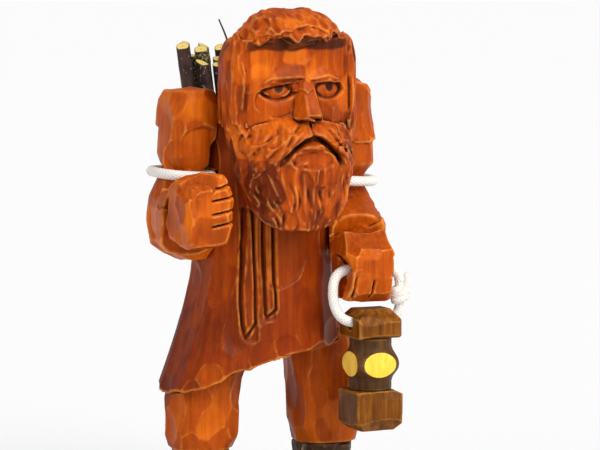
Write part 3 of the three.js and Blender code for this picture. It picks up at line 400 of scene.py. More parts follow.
        # About half of what is round a flat place is wood: less round a ridge, more in a hollow.
        ridge = rubbed * np.clip((0.468 - fine) / 0.06, 0, 1)
        # Painted shade: hollow grows where more wood lies round a point, and darkens the colour there.
        hollow = np.clip((broad - 0.52) * 2.2 + np.maximum(fine - 0.53, 0) * 4, 0, 1)
        others = {key: value(points) for key, value in values.items()}
        return mesh_object(name, points / 1000, quads, tone=tone, ridge=ridge, hollow=hollow, **others)


def largest_shell(count, faces):
    """The faces of the largest connected shell."""
    label = np.arange(count)
    pairs = np.vstack([faces[:, [0, 1]], faces[:, [1, 2]], faces[:, [2, 3]], faces[:, [3, 0]]])
    while True:
        low = np.minimum(label[pairs[:, 0]], label[pairs[:, 1]])
        if (label[pairs[:, 0]] == label[pairs[:, 1]]).all():
            break
        np.minimum.at(label, label[pairs[:, 0]], low)
        np.minimum.at(label, label[pairs[:, 1]], low)
        label = label[label]
        label = label[label]
    shells, sizes = np.unique(label[faces[:, 0]], return_counts=True)
    return faces[label[faces[:, 0]] == shells[sizes.argmax()]]


def mesh_object(name, points, faces, **values):
    """A smooth-shaded mesh of four-cornered faces, with a value for each point by name."""
    mesh = bpy.data.meshes.new(name)
    mesh.vertices.add(len(points))
    mesh.vertices.foreach_set("co", np.asarray(points, np.float32).ravel())
    mesh.loops.add(faces.size)
    mesh.loops.foreach_set("vertex_index", np.asarray(faces, np.int32).ravel())
    mesh.polygons.add(len(faces))
    mesh.polygons.foreach_set("loop_start", np.arange(0, faces.size, 4, dtype=np.int32))
    mesh.polygons.foreach_set("use_smooth", np.ones(len(faces), bool))
    mesh.update(calc_edges=True)
    mesh.validate()
    for key, value in values.items():
        layer = mesh.attributes.new(key, "FLOAT", "POINT")
        layer.data.foreach_set("value", np.asarray(value, np.float32))
    shown = bpy.data.objects.new(name, mesh)
    bpy.context.scene.collection.objects.link(shown)
    return shown


def stand_in(piece, node, body, slot_name, material):
    """The piece shows in place of a CAD node, on its body, with its finish."""
    piece.data.materials.append(material)
    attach(piece, body)
    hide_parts(node)


def scooped_block(node, name, seed, step, slot_and_stain, cuts, body="figure", splinters=0.0):
    """A block that is covered with scoops all over and shows in place of its CAD node."""
    chance = np.random.default_rng(seed)
    block = Block(node, step)
    block.soften()
    block.gouge(chance, **cuts)
    stand_in(block.piece(name, chance, splinters=splinters), node, body, *slot_and_stain)


DARK_STAIN = stained_wood(
    "dark_stain",
    deep=(0.016, 0.008, 0.004),
    middle=(0.05, 0.026, 0.014),
    light=(0.1, 0.058, 0.034),
    worn=(0.2, 0.12, 0.07),
    sunk=(0.008, 0.005, 0.003),
)
UNDERSIDE = 1.5
plinth_cuts = dict(
    spacing=17, size=(30, 20), depth=0.7, along=(1, 0, 0), where=lambda p: p[:, 2] > UNDERSIDE, tilt=0.03
)
scooped_block("plinth", "plinth_board", 11, 1.2, ("dark_wood", DARK_STAIN), plinth_cuts)

# Boots
# Two boots, each carved with its sole from one block of wood and stained dark brown.
# A dowel from the plinth passes up through each of them into the leg.
SOLE_TOP = 27
boot_cuts = dict(spacing=11, size=(22, 15), depth=1.0, along=(0, 1, 0), where=lambda p: p[:, 2] > SOLE_TOP)
for side, seed in (("right", 21), ("left", 22)):
    scooped_block(f"{side}_boot", f"{side}_carved_boot", seed, 0.8, ("dark_wood", DARK_STAIN), boot_cuts)

# Trouser legs
# Two bowed legs carved with wide flat cuts, stained orange brown and varnished.
# Each is glued on its dowel between the boot and the coat's underside.
LEG_STAIN = stained_wood(
    "leg_stain",
    deep=(0.17, 0.02, 0.0008),
    middle=(0.4, 0.06, 0.0015),
    light=(0.6, 0.12, 0.003),
    worn=(0.84, 0.31, 0.05),
    sunk=(0.05, 0.009, 0.002),
)
leg_cuts = dict(spacing=14, size=(34, 22), depth=1.6, along=(0, 0, 1))
for side, seed in (("right", 31), ("left", 32)):
    node = f"{side}_trouser_leg"
    scooped_block(node, f"{side}_carved_leg", seed, 0.75, ("stained_wood", LEG_STAIN), leg_cuts)


# Coat
# The trunk with its flared coat, carved from one block of wood and stained red brown.
# Two ribbon ends are outlined on its front with a V-tool, and its hem is scalloped by the gouge.
class Relief:
    """Heights to raise or sink a block's front by, over the X and Z of its grid, in millimetres."""

    def __init__(self, block):
        x, _, z = block.axes()
        self.block = block
        self.x = x[:, 0]
        self.z = z[0]
        self.raised = np.zeros((x.size, z.size), np.float32)
        self.cuts = np.zeros((x.size, z.size), np.float32)

    def off_line(self, points):
        """How far each place lies from a line through points, and the share of the line nearest it."""
        points = np.asarray(points, float)
        runs = np.diff(points, axis=0)
        lengths = np.linalg.norm(runs, axis=1)
        starts = np.concatenate([[0], np.cumsum(lengths)])
        away = np.full(self.raised.shape, np.inf)
        share = np.zeros(self.raised.shape)
        for point, run, length, start in zip(points, runs, lengths, starts):
            across, up = self.x - point[0], self.z - point[1]
            along = np.clip((across * run[0] + up * run[1]) / length**2, 0, 1)
            distance = np.hypot(across - along * run[0], up - along * run[1])
            nearer = distance < away
            away[nearer] = distance[nearer]
            share[nearer] = ((start + along * length) / starts[-1])[nearer]
        return away, share

    def inside(self, points):
        """How far inside an outline each place lies, negative outside it."""
        points = np.asarray(points, float)
        away, _ = self.off_line(np.vstack([points, points[:1]]))
        within = np.zeros(self.raised.shape, bool)
        for (x0, z0), (x1, z1) in zip(points, np.roll(points, -1, axis=0)):
            if z0 != z1:
                beside = self.x < x0 + (self.z - z0) * (x1 - x0) / (z1 - z0)
                within ^= ((z0 > self.z) != (z1 > self.z)) & beside
        return np.where(within, away, -away)

    def cut(self, points, width, depth, ends=(6, 6)):
        """A V-shaped cut along a line, shallow towards its ends."""
        away, share = self.off_line(points)
        fade = np.minimum(1, np.minimum(ends[0] * share, ends[1] * (1 - share)))
        valley = -depth * fade * np.clip(1 - away / (width / 2), 0, 1)
        np.minimum(self.cuts, valley, out=self.cuts)

    def press(self, front, thick=7):
        """Raises and sinks the wood's front face where it lies before Y = front."""
        _, y, _ = self.block.axes()
        face = y.ravel()[np.argmax(self.block.wood < 0, axis=1)][:, None, :]
        weight = np.clip((face + thick - y) / 2, 0, 1) * np.clip((front - y) / 6, 0, 1)
        self.block.wood -= (self.raised + self.cuts)[:, None, :] * weight

    def at(self, points, values):
        """Values over X and Z read at points, straight between the grid's nodes."""
        places = points / self.block.step - self.block.low
        places = np.clip(places, 0, np.array(self.block.wood.shape) - 1.001)
        (column, row), (across, up) = (part[:, [0, 2]].T for part in (places.astype(int), places % 1))
        lower = values[column, row] * (1 - across) + values[column + 1, row] * across
        upper = values[column, row + 1] * (1 - across) + values[column + 1, row + 1] * across
        return lower * (1 - up) + upper * up


COAT_STAIN = stained_wood(
    "coat_stain",
    deep=(0.08, 0.008, 0.0005),
    middle=(0.24, 0.027, 0.0008),
    light=(0.42, 0.066, 0.0015),
    worn=(0.78, 0.27, 0.04),
    sunk=(0.028, 0.005, 0.001),
)
COAT_FRONT = -20
PLAIN_RIBBONS = ((-26, 140), (-12, 153))
PLAIN_RIBBON_HALF = 5
PLAIN_RIBBON_HEIGHT = 1.8
RIBBON_HEIGHT = 0.9
RIBBONS = (
    [(-27.5, 230), (-28.2, 209), (-30, 185), (-31, 166), (-30.5, 152)]
    + [(-29, 143), (-22, 153), (-21.3, 177), (-23, 230)],
    [(-15.5, 230), (-15.2, 200), (-14.7, 158.5), (-13.8, 156), (-7.5, 161), (-8.2, 185), (-8.8, 230)],
)
HEM_TOP = 150
chance = np.random.default_rng(41)
coat = Block("coat", 0.85)

# The plain ribbons of the CAD model go first, and carved ones take their place after the scoops.
front = Relief(coat)
for middle, end in PLAIN_RIBBONS:
    front.raised -= PLAIN_RIBBON_HEIGHT * (np.abs(front.x - middle) < PLAIN_RIBBON_HALF) * (front.z > end)
front.press(COAT_FRONT)
coat.soften()
coat.gouge(chance, 20, (60, 34), 1.1, (0, 0, 1), wander=0.15, tilt=0.04)


def by_the_hem(points):
    below = coat.sample(points - [0, 0, 9]) > 0.5
    upright = coat.sample(points + [0, 0, 3]) > -1.5
    return below & upright & (points[:, 2] < HEM_TOP)


coat.gouge(chance, 13, (24, 22), 2.0, (1, 0, 0), where=by_the_hem, tilt=0.1, lean=(0, 0, -0.14))
front = Relief(coat)
for outline in RIBBONS:
    front.raised += RIBBON_HEIGHT * np.clip(front.inside(outline) / 1.5, 0, 1)
    front.cut(outline, width=3.2, depth=2.2, ends=(60, 60))
front.press(COAT_FRONT)
stand_in(coat.piece("carved_coat", chance), "coat", "figure", "stained_wood", COAT_STAIN)

# Head
# Hair, face, moustache and beard, carved from one block and stained red brown.
# It is glued on the neck dowel and rests on the coat's top and front.
HEAD_STAIN = stained_wood(
    "head_stain",
    deep=(0.13, 0.014, 0.001),
    middle=(0.4, 0.055, 0.001),
    light=(0.72, 0.15, 0.006),
    worn=(0.86, 0.36, 0.09),
    sunk=(0.03, 0.006, 0.002),
)
FACE_X = 1.5
FACE_BACK = -40
FACE_FRONT = -38
FACE_RELIEF = 10
chance = np.random.default_rng(51)
head = Block("head", 0.65)
head.soften()
front = Relief(head)
x, z = front.x, front.z
_, y, _ = head.axes()


def step_up(value, width):
    """0 below 0, 1 above the width, smooth between."""
    share = np.clip(value / width, 0, 1)
    return share * share * (3 - 2 * share)


def dome(top, middle, half):
    """Over X and Z, the top at a middle, less 1 at each half-width away from it."""
    return top - ((x - middle[0]) / half[0]) ** 2 - ((z - middle[1]) / half[1]) ** 2


def bowed(edge, out, half, most):
    """The Y of a front that bows out from its edge at half a width, squarer than a circle."""
    squareness = 2.6
    return edge - out * (1 - np.clip(np.abs(x) / half, 0, most) ** squareness) ** (1 / squareness)


def height_of(points):
    """Over X, the Z of a line through points."""
    return np.interp(x, *np.transpose(points))


# The mouth's hollow is filled, so that lip and chin can be cut in the plane of the beard.
CHIN = [(-19, 248), (-17, 258), (-9, 270), (3, 276), (14, 270), (22, 258), (24, 248)]
CHIN_Y = -74.2
CHIN_BOW = 0.006
chin = front.inside(CHIN)
head.add(CHIN_Y + CHIN_BOW * (x - 3)[:, :, None] ** 2 - y, -chin[:, None, :])

# Moustache: two drooping wings, fullest below and falling back to the face above.
UPPER_EDGE = [
    (-41, 280), (-34, 283.5), (-22, 286.5), (-12, 288.5), (-3, 288),
    (6, 288), (14, 288.5), (24, 286.5), (34, 283), (42, 276),
]
RIGHT_TIPS = [
    (-44, 272), (-43, 265), (-36, 260), (-33, 254), (-28.5, 255.5), (-26, 249.5),
    (-20, 255), (-14.5, 262.5), (-7, 270.5), (1, 275), (2.5, 286),
]
LEFT_TIPS = [
    (44, 265), (39, 257), (37, 249), (33, 252), (30, 243), (26, 253),
    (20, 262), (12, 270), (4, 275), (2.5, 286), (5, 288),
]
WINGS = (UPPER_EDGE[4::-1] + RIGHT_TIPS, UPPER_EDGE[6:] + LEFT_TIPS)
WING_STEEPNESS = 0.8
PARTING = [(3, 285), (2.6, 280), (3, 275)]
plate = bowed(-41.5, 20.3, 38.5, most=0.999)
fullest = bowed(-36, 42, 45, most=1)
upper_edge = height_of(UPPER_EDGE)
slack = np.clip((z + 13 - upper_edge) / 14, 0, 1) ** 2
brush = WING_STEEPNESS * ((fullest + (plate - fullest) * slack)[:, None, :] - y)
moustache = np.zeros(front.raised.shape)
for wing in WINGS:
    within = front.inside(wing)
    moustache = np.maximum(moustache, step_up(within, 1.3))
    head.add(brush, -within[:, None, :], y - FACE_BACK)
    head.take(-brush, -within[:, None, :])
front.cut(PARTING, width=4, depth=2.6, ends=(20, 8))

# Strands of beard and moustache, each a long cut with a V-tool.
BEARD_TIP = np.array([6.0, 168.0])
STRAND_STEP = 2.5
STRAND_SWAY = 0.42
STRAND_TRIES = 600


def strand(start, length, heading):
    """A line of points from a start, each step of it in the heading there."""
    line = [np.array(start, float)]
    sway = chance.uniform(0, 6.28)
    for _ in range(int(length / STRAND_STEP)):
        way = heading(line[-1]) + np.array([STRAND_SWAY * math.sin(line[-1][1] / 5 + sway), 0])
        line.append(line[-1] + STRAND_STEP * way / np.linalg.norm(way))
    return line


def beard_heading(place):
    way = BEARD_TIP - place
    return way / np.linalg.norm(way) + np.array([0, -0.35])


def wing_heading(place):
    aside = place[0] - FACE_X
    return np.array([np.sign(aside) * (9 + 0.3 * abs(aside)), -(9 + 0.62 * abs(aside))]) / 20


def scattered(low, high, spacing):
    """Places over X and Z with room round each, wider along Z."""
    kept = []
    for place in chance.uniform(low, high, (STRAND_TRIES, 2)):
        room = [np.hypot(*((place - other) / (spacing, 2 * spacing))) for other in kept]
        if min(room, default=2) > 1:
            kept.append(place)
    return kept


def value_at(grid, place):
    """A grid's value over X and Z at a place."""
    return grid[int(place[0] / head.step - head.low[0]), int(place[1] / head.step - head.low[2])]


def cut_strands(places, heading, lengths, widths, depths):
    for place in places:
        line = strand(place, chance.uniform(*lengths), heading)
        front.cut(line, chance.uniform(*widths), chance.uniform(*depths), ends=(3, 3))


places = [
    place
    for place in scattered((-40, 190), (42, 258), 5.4)
    if value_at(moustache, place) < 0.3 and value_at(chin, place) < 4
]
cut_strands(places, beard_heading, lengths=(14, 30), widths=(2.6, 4), depths=(1.6, 2.6))
places = [place for place in scattered((-40, 258), (41, 287), 4.0) if value_at(moustache, place) > 0.5]
cut_strands(places, wing_heading, lengths=(12, 20), widths=(3, 4.4), depths=(1.4, 2.2))
# Painted shade: the strand cuts are darkened by this mask.
grooves = np.clip(-front.cuts / 1.8, 0, 1) ** 2

# Fringe: tufts with a ragged lower edge over a sunk band of hair.
FRINGE_HALF = 37
FRINGE_DEPTH = 4.2
FOREHEAD_Z = 322
ragged = 340.2 + 1.6 * np.sin(x / 3.7) + 1.1 * np.sin(x / 1.9 + 1.3) - 0.0016 * x**2
hairline = 331.4 + 0.8 * np.sin(x / 4.6 + 0.6) + 0.5 * np.sin(x / 2.3)
below_tufts = step_up(ragged - z, 1.3)
over_face = step_up(FRINGE_HALF - np.abs(x), 4)
# Painted shade: the sunk band under the tufts is darkened by this mask.
band = below_tufts * step_up(z - hairline, 0.9) * over_face
front.raised -= FRINGE_DEPTH * below_tufts * step_up(z - FOREHEAD_Z, 3) * over_face
front.press(FACE_FRONT, FACE_RELIEF)

# Side locks: the hair stands out as a thick lock on each side of the face.
LOCK_X = 39.5
LOCK_Y = -46
LOCK_Z = 299
LOCK_HALF = 46
LOCK_RADIUS = 6.5
lock_depth = (y - LOCK_Y) * np.where(y < LOCK_Y, 0.6, 0.24)
swell = LOCK_RADIUS * (1 - ((z[:, None, :] - LOCK_Z) / LOCK_HALF) ** 4)
for side in (-1, 1):
    head.add(np.hypot(x[:, :, None] - side * LOCK_X, lock_depth) - swell)

# Hair: leaf-shaped scoops from the crown forward and down, long ones on the sides and the beard.
HAIR_Z = 339
CROWN_Y = -22
SWIRL_X = 12


def off_moustache(points):
    return front.at(points, moustache) < 0.3


def from_crown(point):
    ahead = point[1] - CROWN_Y
    return np.array([0.5 * point[0] + (9 if point[0] < SWIRL_X else -3), ahead, -0.5 * abs(ahead) - 8])


def in_side_hair(points):
    beside = (points[:, 1] > -44) | (np.abs(points[:, 0]) > 34.5)
    return beside & (points[:, 2] <= HAIR_Z) & (points[:, 2] > 250) & off_moustache(points)


def in_beard(points):
    clear = (front.at(points, chin) < -4) | (points[:, 2] < 251)
    return clear & (points[:, 1] < -36) & (points[:, 2] < 264) & off_moustache(points)


def beard_run(point):
    across = beard_heading(point[[0, 2]])[0]
    return across + 0.35 * math.sin(point[2] / 4 + point[0] / 6), 0, -1.2


def on_crown(points):
    return points[:, 2] > HAIR_Z


head.gouge(chance, 5.6, (19, 6.5), 1.5, from_crown, where=on_crown, wander=0.14, tilt=0.05)
head.gouge(chance, 6.2, (34, 7), 1.5, (0, -0.1, -1), where=in_side_hair, wander=0.1, tilt=0.06)
head.gouge(chance, 4.6, (28, 6.8), 1.4, beard_run, where=in_beard, wander=0.12, tilt=0.08)

# Mouth: an arch under the moustache, a small lip in it, and a bare chin above the beard.
MOUTH = [
    (-21.5, 257), (-15.5, 263.5), (-9.5, 269), (-3, 273.4), (3.5, 275),
    (9, 274), (15, 270), (22, 263), (28, 253),
]
MOUTH_DEPTH = 4.2
LIP = (3.5, 269.6)
LIP_HALF = (9, 2.4)
LIP_HEIGHT = 2.2
BARE_CHIN = [
    (-11, 258.5), (-8, 264), (3.5, 266.5), (15, 264), (18, 258.5), (11, 256.6), (3, 256), (-5, 256.6),
]
BARE_CHIN_DEPTH = 1.6
front = Relief(head)
away, share = front.off_line(MOUTH)
fade = np.minimum(1, 7 * np.minimum(share, 1 - share))
# Painted shade: the mouth's arch is darkened by this mask.
mouth = step_up(2.2 - away, 1.0) * fade
front.cuts = -MOUTH_DEPTH * step_up(2.4 - away, 1.4) * fade
front.raised += LIP_HEIGHT * np.sqrt(np.clip(dome(1, LIP, LIP_HALF), 0, 1))
front.raised -= BARE_CHIN_DEPTH * step_up(front.inside(BARE_CHIN) + 1.2, 1.2)
front.press(FACE_FRONT, FACE_RELIEF)

# Brows: a crest over each eye that leans back to the forehead and down to the lid.
BROWS = [
    (-33, 307), (-25, 312.3), (-22, 313.9), (-12, 314.6), (-1, 314.6),
    (4, 312.6), (10, 313.4), (19, 315.2), (28, 311.4), (33, 306),
]
LIDS = [(-33, 304), (-25, 307.6), (-1, 312), (4, 310.5), (10.5, 310.5), (29, 309.8), (33, 305)]
BROW_HEIGHT = 4.4
BROW_HALF = 34
LID_HEIGHT = 1.2
EYES = (-15.8, 20.2)
brow_line = height_of(BROWS)
lid = height_of(LIDS)
crest = BROW_HEIGHT * step_up(BROW_HALF - np.abs(x - FACE_X), 9)
over = z - brow_line
above = crest * np.clip(1 - over / 9, 0, 1) ** 1.3
under = LID_HEIGHT + (crest - LID_HEIGHT) * np.clip((z - lid) / (brow_line - lid), 0, 1)
socket = np.zeros_like(front.raised)
for eye in EYES:
    hollow = step_up(dome(1.15, (eye, 304.5), (12, 7.6)), 0.7)
    socket = np.maximum(socket, hollow * (1.4 + 3.8 * step_up(z - 300.5, 6)))
height = np.where(over >= 0, above, np.where(z > lid, under, -socket))

# Eyes: a ball in each socket, a lower lid round it, dark lines of painted shade at the lids, and inked
# pupils. A cheek lies below each.
EYE_Z = 305.8
EYE_HALF = (9, 5.4)
EYE_HEIGHT = 3.6
LOWER_LID_Z = 305.5
PUPIL_Z = 307.6
PUPIL_ASIDE = 0.6
CHEEK_Z = 293.5
CHEEK_HALF = (11, 8)
CHEEK_HEIGHT = 1.8
FAR_BACK = -9
ink = np.zeros_like(front.raised)
for eye in EYES:
    ball = dome(1, (eye, EYE_Z), EYE_HALF)
    bulge = EYE_HEIGHT * np.sqrt(np.clip(ball, 0, 1)) - EYE_HEIGHT
    height = np.maximum(height, np.where((ball > 0) & (z < lid), bulge, FAR_BACK))
    rim = (1 - np.sqrt(np.clip(1 - ball, 0, 4))) * 7
    lower = step_up(LOWER_LID_Z - z, 3)
    height += lower * (0.9 * np.exp(-(((rim + 2.2) / 1.1) ** 2)) - 0.8 * np.exp(-((rim / 0.8) ** 2)))
    # Painted shade: a dark line in the groove round the lower lid.
    ink = np.maximum(ink, 0.8 * lower * np.exp(-((rim / 0.7) ** 2)))
    pupil = np.hypot(x - eye - PUPIL_ASIDE, z - PUPIL_Z) + 9 * (z > lid)
    # The pupils are inked.
    ink = np.maximum(ink, step_up(3.3 - pupil, 0.6))
    height -= 0.7 * step_up(3.2 - pupil, 0.8)
    # Painted shadow: a dark line under each upper lid.
    beside = step_up(11 - np.abs(x - eye), 2)
    ink = np.maximum(ink, 0.95 * beside * np.exp(-(((z - lid + 0.4) / 0.8) ** 2)))
    height += CHEEK_HEIGHT * np.exp(dome(0, (eye * 1.25, CHEEK_Z), CHEEK_HALF))

# Nose: a wedge that widens and stands out further down, cut back below, with two nostrils.
NOSE_X = 3.2
NOSE_TOP = 313
NOSE_LENGTH = 24.5
NOSE_UNDER = 289.5
NOSTRIL_ASIDE = 7
NOSTRIL_Z = 286
NOSTRIL_HALF = (3.2, 1.6)
NOSTRIL_DEPTH = 2.5
drop = np.clip((NOSE_TOP - z) / NOSE_LENGTH, 0, 1)
ridge_out = 2.6 + 13.8 * drop**1.12
half_front = 2.6 + 2.6 * drop
half_back = 6 + 6.3 * drop**1.5
nose = ridge_out * np.clip((half_back - np.abs(x - NOSE_X)) / (half_back - half_front), 0, 1)
nose = np.minimum(nose, ridge_out - 3.1 * np.clip(NOSE_UNDER - z, 0, 9))
height = np.maximum(height, np.where((z < NOSE_TOP) & (nose > 0), nose, FAR_BACK))
for nostril in (NOSE_X - NOSTRIL_ASIDE, NOSE_X + NOSTRIL_ASIDE):
    pit = np.exp(dome(0, (nostril, NOSTRIL_Z), NOSTRIL_HALF))
    height -= NOSTRIL_DEPTH * pit
    # Painted shade: the nostrils are darkened.
    ink = np.maximum(ink, pit)

# Face: the block is opened between fringe and moustache, and the face is set back in the opening.
OPENING_BACK = -44
OPENING_HALF = 34
FACE_HALF = 38.4
height += 3 * step_up(np.abs(x) - 29, 8)
face = plate - height
opening = np.maximum(z - hairline, upper_edge - z)
between_locks = np.abs(x)[:, :, None] - OPENING_HALF + 0.2 * (y - LOCK_Y)
head.take(opening[:, None, :], between_locks, y - OPENING_BACK)
across, up = np.gradient(face, head.step)
steep = 1 / np.sqrt(1 + across**2 + up**2)
lowest = 281 - 6 * step_up(np.abs(x) - 28, 6)
edges = np.maximum(np.abs(x) - FACE_HALF, np.maximum(z - HAIR_Z, lowest - z))
head.add((face[:, None, :] - y) * steep[:, None, :], edges[:, None, :], y - FACE_BACK)
head.soften()


def bare_face(points):
    cheeks = (np.abs(points[:, 0] - FACE_X) > 15) & (points[:, 2] < 297)
    forehead = points[:, 2] > 321
    ahead = (np.abs(points[:, 0]) < 32) & (points[:, 1] < -47)
    return (forehead | cheeks) & ahead & (points[:, 2] > 287) & (points[:, 2] < 331)


# Painted light and shade on the head's tone: the forehead is lightened where the fringe's shadow falls,
# the crown gets a painted highlight, the beard darkens towards the figure's right as painted shade, and
# the moustache is made lighter.
def painted_light_tint(points):
    ahead = points[:, 1] < -44
    on_face = ahead & (np.abs(points[:, 0]) < 33) & (points[:, 2] > 285) & (points[:, 2] < 332)
    beard = ahead & (points[:, 2] < 262)
    shaded = np.clip((-points[:, 0] - 12) / 12, 0, 1)
    forehead = 0.7 * on_face * np.clip((points[:, 2] - 311) / 4, 0, 1)
    crown = 0.5 * np.clip((points[:, 2] - 336) / 6, 0, 1)
    whiskers_and_beard_shade = 0.4 * ahead * front.at(points, moustache) + beard * (0.1 - 0.6 * shaded)
    return forehead + crown + whiskers_and_beard_shade - 0.3


# Inked pupils, and painted shade in the lid lines, nostrils, mouth, sunk band and strand cuts, on the
# face's front.
def ink_and_cut_shade(points):
    dark = reduce(np.maximum, (ink, 0.9 * mouth, 0.75 * band, 0.6 * grooves))
    return front.at(points, dark) * (points[:, 1] < -46)


head.gouge(chance, 10, (24, 18), 0.8, (0, 0, 1), where=bare_face, tilt=0.09)
# The head gets painted light and shade in its tone, and inked pupils with painted shade in its cuts.
carved = head.piece("carved_head", chance, tint=painted_light_tint, contrast=1.5, rubbed=0.75, ink=ink_and_cut_shade)
stand_in(carved, "head", "figure", "stained_wood", HEAD_STAIN)

# Sleeves
# Two arms carved with wide flat cuts and necked in where the strap goes round them.
# Each is glued on a dowel to the trunk's shoulder.
SLEEVE_STAIN = stained_wood(
    "sleeve_stain",
    deep=(0.18, 0.022, 0.0008),
    middle=(0.45, 0.07, 0.0016),
    light=(0.7, 0.155, 0.005),
    worn=(0.9, 0.38, 0.08),
    sunk=(0.04, 0.008, 0.002),
)
THIN_SPLINTERS = 1.2
sleeve_cuts = dict(spacing=14, size=(40, 30), depth=2.0, along=(0, 0, 1), tilt=0.15)
for side, seed in (("right", 61), ("left", 62)):
    scooped_block(
        f"{side}_sleeve",
        f"{side}_carved_sleeve",
        seed,
        0.7,
        ("stained_wood", SLEEVE_STAIN),
        sleeve_cuts,
        splinters=THIN_SPLINTERS,
    )

# Fists
# Two closed fists with large flat cuts, stained as the sleeves, with slits between the fingers.
# Each is glued on a short dowel in its cuff, and the left one is bored for the lantern's cord.
SLITS = {
    "right": (
        [(-66, 236.2), (-60, 237), (-48.6, 239)],
        [(-66, 227.4), (-59, 228.4), (-48, 230.6)],
        [(-66, 219.4), (-59, 220.6), (-48, 223)],
        [(-62, 243.8), (-57.5, 244.6), (-51, 246.6)],
    ),
    "left": ([(35.5, 186), (35.2, 180), (34.8, 168)], [(49, 182), (48.8, 177), (48.4, 168)]),
}
SLIT_WIDTH = 3.0
SLIT_DEPTH = 4.2
FIST_FRONT = -40
NARROW_SLOTS = 2.4
HEEL = ((51.5, 15), (-38, 13), (203, 12))
for side, seed in (("right", 73), ("left", 75)):
    chance = np.random.default_rng(seed)
    fist = Block(f"{side}_fist", 0.55)
    fist.fill(NARROW_SLOTS)
    if side == "left":
        spans = [((line - middle) / half) ** 2 for line, (middle, half) in zip(fist.axes(), HEEL)]
        heel = np.sqrt(spans[0] + spans[1] + spans[2])
        fist.add((heel - 1) * HEEL[2][1])
    fist.gouge(chance, 12, (30, 25), 1.7, (0, 0, 1), tilt=0.16)
    front = Relief(fist)
    for slit in SLITS[side]:
        front.cut(slit, SLIT_WIDTH, SLIT_DEPTH, ends=(4, 6))
    front.press(FIST_FRONT)
    carved = fist.piece(f"{side}_carved_fist", chance, splinters=THIN_SPLINTERS)
    stand_in(carved, f"{side}_fist", "figure", "stained_wood", SLEEVE_STAIN)

# Strap
# A white braided cotton cord, seven millimetres thick, that goes round both arms and the bundle.
# Its two ends meet behind the bundle, in a knot wrapped round itself.
CORD_RADIUS = 3.4
STRAP_HEIGHT = 245.0
STRAP_SLOPE = -0.066
CORD_STEP = 0.45
STRAND_RISE = 0.55
END_ROUNDING = 1.6
KNOT_TURNS = 2.35
KNOT_LENGTH = 7.6
KNOT_REACH = 4.5
STRAP = [
    (9, 83.5), (15.5, 81), (21.5, 76), (40.6, 48.8), (62, 31), (72.3, 21.1), (76.6, 11), (77.8, 1),
    (76.4, -9), (72, -17.4), (63.5, -22.3), (53, -22.9), (46.5, -20.8), (42.6, -14.5), (41, -5), (41, 8),
    (40, 19), (37, 27), (30, 30.8), (19, 35.6), (0, 38), (-20, 36), (-30, 31.5), (-37, 27), (-40, 19),
    (-41, 8), (-41, -5),
    (-42.6, -14.5), (-46.5, -20.8), (-51.5, -22.9), (-60, -22.4), (-68.3, -17.6), (-72.4, -9), (-73.8, 1),
    (-72.6, 11), (-68.8, 21.1), (-34.8, 49.3), (-19.4, 78.8), (-12, 82), (-5, 83.5),
]


def along_route(points, step):
    """Points every step along a smooth curve through the given ones, in millimetres."""
    points = np.asarray(points, float)
    ends = np.vstack([2 * points[0] - points[1], points, 2 * points[-1] - points[-2]])
    share = np.linspace(0, 1, 24, endpoint=False)[:, None]
    curve = []
    for a, b, c, d in zip(ends[:-3], ends[1:-2], ends[2:-1], ends[3:]):
        bend = 2 * a - 5 * b + 4 * c - d
        twist = 3 * b - a - 3 * c + d
        curve.append(0.5 * (2 * b + (c - a) * share + bend * share**2 + twist * share**3))
    curve = np.vstack(curve + [points[-1:]])
    run = np.concatenate([[0], np.cumsum(np.linalg.norm(np.diff(curve, axis=0), axis=1))])
    places = np.linspace(0, run[-1], max(2, round(run[-1] / step)))
    return np.stack([np.interp(places, run, curve[:, axis]) for axis in range(3)], axis=1)


def rings(path, radii):
    """Points and four-cornered faces of a closed tube, with a row of radii at each point of its path."""
    ahead = np.gradient(path, axis=0)
    ahead /= np.linalg.norm(ahead, axis=1, keepdims=True)
    first = np.cross(ahead[0], (0.3, 0.2, 1.0) if abs(ahead[0][2]) < 0.8 else (1.0, 0.2, 0.3))
    sides = [first / np.linalg.norm(first)]
    for way in ahead[1:]:
        side = sides[-1] - way * sides[-1].dot(way)
        sides.append(side / np.linalg.norm(side))
    sides = np.array(sides)
    ups = np.cross(ahead, sides)
    count, around = radii.shape
    turn = np.arange(around) * 2 * np.pi / around
    out = sides[:, None] * np.cos(turn)[:, None] + ups[:, None] * np.sin(turn)[:, None]
    points = (path[:, None] + out * radii[:, :, None]).reshape(-1, 3)
    near = np.arange((count - 1) * around).reshape(count - 1, around)
    after = np.roll(near, -1, axis=1)
    faces = np.stack([near, after, after + around, near + around], axis=2).reshape(-1, 4)
    rim = np.arange(around)
    ends = [fan(rim, len(points))[:, ::-1], fan(rim + (count - 1) * around, len(points) + 1)]
    return np.vstack([points, path[:1], path[-1:]]), np.vstack([faces] + ends)


def fan(rim, centre):
    """Four-cornered faces between every other point of a rim and its centre."""
    even = np.arange(0, len(rim), 2)
    return np.stack([0 * even + centre, rim[even], rim[even + 1], rim[(even + 2) % len(rim)]], axis=1)


